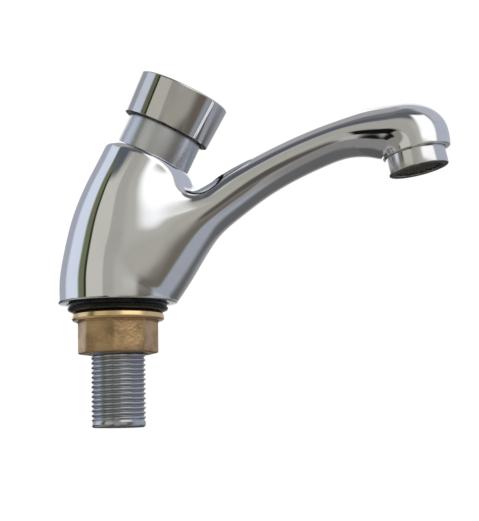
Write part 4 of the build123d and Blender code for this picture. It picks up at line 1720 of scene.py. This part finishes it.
# Later panels lie over earlier ones
ROOM = tuple(
    Panel(*span, seen(*light))
    for *span, light in (
        (-200, 200, 50, 100, 0, 16, (108, 108, 110)),
        (-200, -75, 46, 84, 20, 12, (156, 155, 156)),
        (78, 200, 20, 78, 20, 14, (172, 173, 181)),
        (-78, -18, 36, 62, 14, 12, (84, 88, 96)),
        (-24, 45, 46, 76, 18, 14, (92, 92, 92)),
        (-200, 200, -100, -58, 0, 14, (126, 124, 122)),
        (-78, -14, -62, 4, 10, 8, (130, 129, 120)),
        (-16, 40, -30, 8, 10, 12, (164, 160, 150)),
        (-17, 12, -62, -34, 8, 8, (168, 166, 160)),
        (-22, -13, -34, -8, 3, 6, (24, 24, 24)),
        (-38, -19, -60, -28, 8, 8, (28, 28, 28)),
        (6, 40, -56, -22, 14, 14, (82, 80, 76)),
        (38, 90, -54, 9, 24, 5, (106, 100, 91)),
        (66, 152, -54, 2, 12, 12, (150, 154, 162)),
        (118, 205, -70, -12, 26, 20, (94, 94, 95)),
        (-205, -145, -64, -10, 20, 14, (84, 85, 86)),
        (-168, -88, -22, -3, 12, 6, (62, 63, 65)),
        (74, 150, 0, 36, 16, 10, (168, 172, 184)),
        (-40, 30, -2, 40, 8, 8, (158, 156, 148)),
        (-2, 40, 2, 34, 14, 12, (170, 168, 160)),
        (-57.5, -24, -6, 36, 4, 8, (186, 184, 174)),
        (-77, -57.5, -2, 42, 3, 4, (104, 108, 86)),
        (-63, -58, -2, 40, 1.6, 5, (52, 52, 38)),
        (-124, -77, -3, 48, 8, 8, (203, 210, 224)),
        (-142, -112, 0, 44, 10, 8, (157, 160, 170)),
        (-205, -143, -4, 52, 8, 10, (255, 255, 255)),
        (158, 205, 8, 46, 14, 10, (225, 226, 230)),
        (14, 68, 10, 62, 14, 6, (258, 258, 258)),
    )
)


@dataclass
class Studio:
    """Pale floor, soft lamp, bright surroundings and the camera at the photograph's angle."""

    floor_level: float = -66.0
    floor_size: float = 6000.0
    floor_glow: float = 0.82
    target: tuple[float, float, float] = (47.55, 0.0, 15.06)
    azimuth: float = 8.0
    elevation: float = -7.8
    distance: float = 572.0
    roll: float = 1.1
    lens: float = 103.65
    lamp_place: tuple[float, float, float] = (30.0, 45.0, 900.0)
    lamp_size: float = 500.0
    lamp_power: float = 9.0
    room: tuple[Panel, ...] = ROOM

    def floor(self) -> bpy.types.Object:
        """Plain pale floor.

        Returns:
            The floor.
        """
        half = self.floor_size / 2
        corners = [(-half, -half), (half, -half), (half, half), (-half, half)]
        mesh = bpy.data.meshes.new("floor")
        mesh.from_pydata([(x * MM, y * MM, self.floor_level * MM) for x, y in corners], [], [(0, 1, 2, 3)])
        floor = bpy.data.objects.new("floor", mesh)
        bpy.context.scene.collection.objects.link(floor)
        material = bpy.data.materials.new("pale_floor")
        material.use_nodes = True
        wiring = Wiring(material.node_tree)
        path = wiring.add("LightPath").outputs
        matte = wiring.add("BsdfDiffuse", {"Color": shade(0.8, 0.8, 0.8)}).outputs[0]
        shadowed = wiring.add("BsdfDiffuse", {"Color": shade(0.3, 0.3, 0.3)}).outputs[0]
        bright = wiring.add("Emission", {"Color": shade(1, 1, 1), "Strength": self.floor_glow}).outputs[0]
        shown = wiring.add("AddShader", {0: shadowed, 1: bright}).outputs[0]
        clear = wiring.add("BsdfTransparent").outputs[0]
        mirrored = wiring.math("MAXIMUM", path["Is Glossy Ray"], path["Is Transmission Ray"])
        surface = wiring.add("MixShader", {0: path["Is Camera Ray"], 1: matte, 2: shown}).outputs[0]
        surface = wiring.add("MixShader", {0: mirrored, 1: surface, 2: clear}).outputs[0]
        wiring.add("OutputMaterial", {"Surface": surface})
        mesh.materials.append(material)
        return floor

    def surroundings(self) -> None:
        """World: white where the camera looks past the object, soft studio panels in reflections."""
        world = bpy.data.worlds.new("studio")
        bpy.context.scene.world = world
        world.use_nodes = True
        wiring = Wiring(world.node_tree)
        path = wiring.add("LightPath").outputs
        way = wiring.add("SeparateXYZ", {0: wiring.add("TexCoord").outputs["Generated"]}).outputs
        turn = wiring.math("ARCTAN2", way["X"], wiring.math("MULTIPLY", way["Y"], -1.0))
        turn = wiring.math("SUBTRACT", wiring.math("MULTIPLY", turn, 180 / math.pi), self.azimuth)
        turn = wiring.math("WRAP", turn, 180.0, -180.0)
        rise = wiring.math("MULTIPLY", wiring.math("ARCSINE", way["Z"]), 180 / math.pi)
        light = seen(150, 149, 147)
        for panel in self.room:
            light = wiring.mix(self.within(wiring, turn, rise, panel), light, panel.light)
        colours = shade(0.78, 0.79, 0.81), light, shade(1, 1, 1)
        plain, room, white = (wiring.add("Background", {"Color": colour}).outputs[0] for colour in colours)
        mirrored = wiring.math("MAXIMUM", path["Is Glossy Ray"], path["Is Transmission Ray"])
        surface = wiring.add("MixShader", {0: mirrored, 1: plain, 2: room}).outputs[0]
        surface = wiring.add("MixShader", {0: path["Is Camera Ray"], 1: surface, 2: white}).outputs[0]
        wiring.add("OutputWorld", {"Surface": surface})

    @staticmethod
    def within(
        wiring: Wiring, turn: bpy.types.NodeSocket, rise: bpy.types.NodeSocket, panel: Panel
    ) -> bpy.types.NodeSocket:
        """Mask of the directions that a panel covers.

        Args:
            wiring: The world's nodes.
            turn: Azimuth of the direction, in degrees.
            rise: Its height above level, in degrees.
            panel: The panel.

        Returns:
            The mask, soft at the panel's edges.
        """
        mask = 1.0
        sides = (
            (turn, panel.left, panel.right, panel.soft_sides),
            (rise, panel.low, panel.high, panel.soft_ends),
        )
        for place, start, end, soft in sides:
            for edge, sense in ((start, 1), (end, -1)):
                if abs(edge) < (180 if place is turn else 90):
                    half = sense * soft / 2
                    mask = wiring.math("MULTIPLY", mask, wiring.span(place, edge - half, edge + half))
        return mask

    def lamp(self) -> None:
        """Soft square lamp. Chrome doesn't mirror it, only the room."""
        light = bpy.data.lights.new("key", "AREA")
        light.size = self.lamp_size * MM
        light.energy = self.lamp_power
        self.aimed("key", light, *self.lamp_place).visible_glossy = False

    def aimed(
        self, name: str, data: bpy.types.ID, azimuth: float, elevation: float, away: float, roll: float = 0.0
    ) -> bpy.types.Object:
        """Places a lamp or a camera so that it looks at the target.

        Args:
            name: Its name.
            data: The lamp or the camera.
            azimuth: Degrees round the target; 0 lies on the -Y side.
            elevation: Degrees above the target's level.
            away: Distance from the target.
            roll: Degrees that it leans clockwise.

        Returns:
            The object.
        """
        turn, rise = math.radians(azimuth), math.radians(elevation)
        way = Vector((math.sin(turn) * math.cos(rise), -math.cos(turn) * math.cos(rise), math.sin(rise)))
        made = bpy.data.objects.new(name, data)
        bpy.context.scene.collection.objects.link(made)
        made.location = (Vector(self.target) + way * away) * MM
        aim = Vector(self.target) * MM - made.location
        turned_to = aim.to_track_quat("-Z", "Y").to_matrix() @ Matrix.Rotation(math.radians(-roll), 3, "Z")
        made.rotation_euler = turned_to.to_euler()
        return made

    def camera(self) -> None:
        """Camera where the photograph was taken from."""
        lens = bpy.data.cameras.new("camera")
        lens.lens = self.lens
        lens.sensor_width = 36.0
        lens.clip_start = 0.01
        camera = self.aimed("camera", lens, self.azimuth, self.elevation, self.distance, self.roll)
        bpy.context.scene.camera = camera

    def build(self) -> None:
        """Makes all of it."""
        self.floor()
        self.surroundings()
        self.lamp()
        self.camera()
        bpy.context.scene.view_settings.view_transform = "Standard"


def main() -> None:
    """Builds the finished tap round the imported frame, and the studio."""
    logging.basicConfig(level=logging.INFO, format="%(name)s: %(message)s")
    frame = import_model()
    finishes = {slot: finish.make() for slot, finish in FINISHES.items()}
    for entry in frame["record"]["subparts"]:
        for place in frame["nodes"][entry["node"]].material_slots:
            place.material = finishes[Slot(entry["material_slot"])]
    for assembly in (Casting, Headwork, Outlet, Clamping):
        assembly(finishes).build()
    Studio().build()


if __name__ == "__main__":
    main()
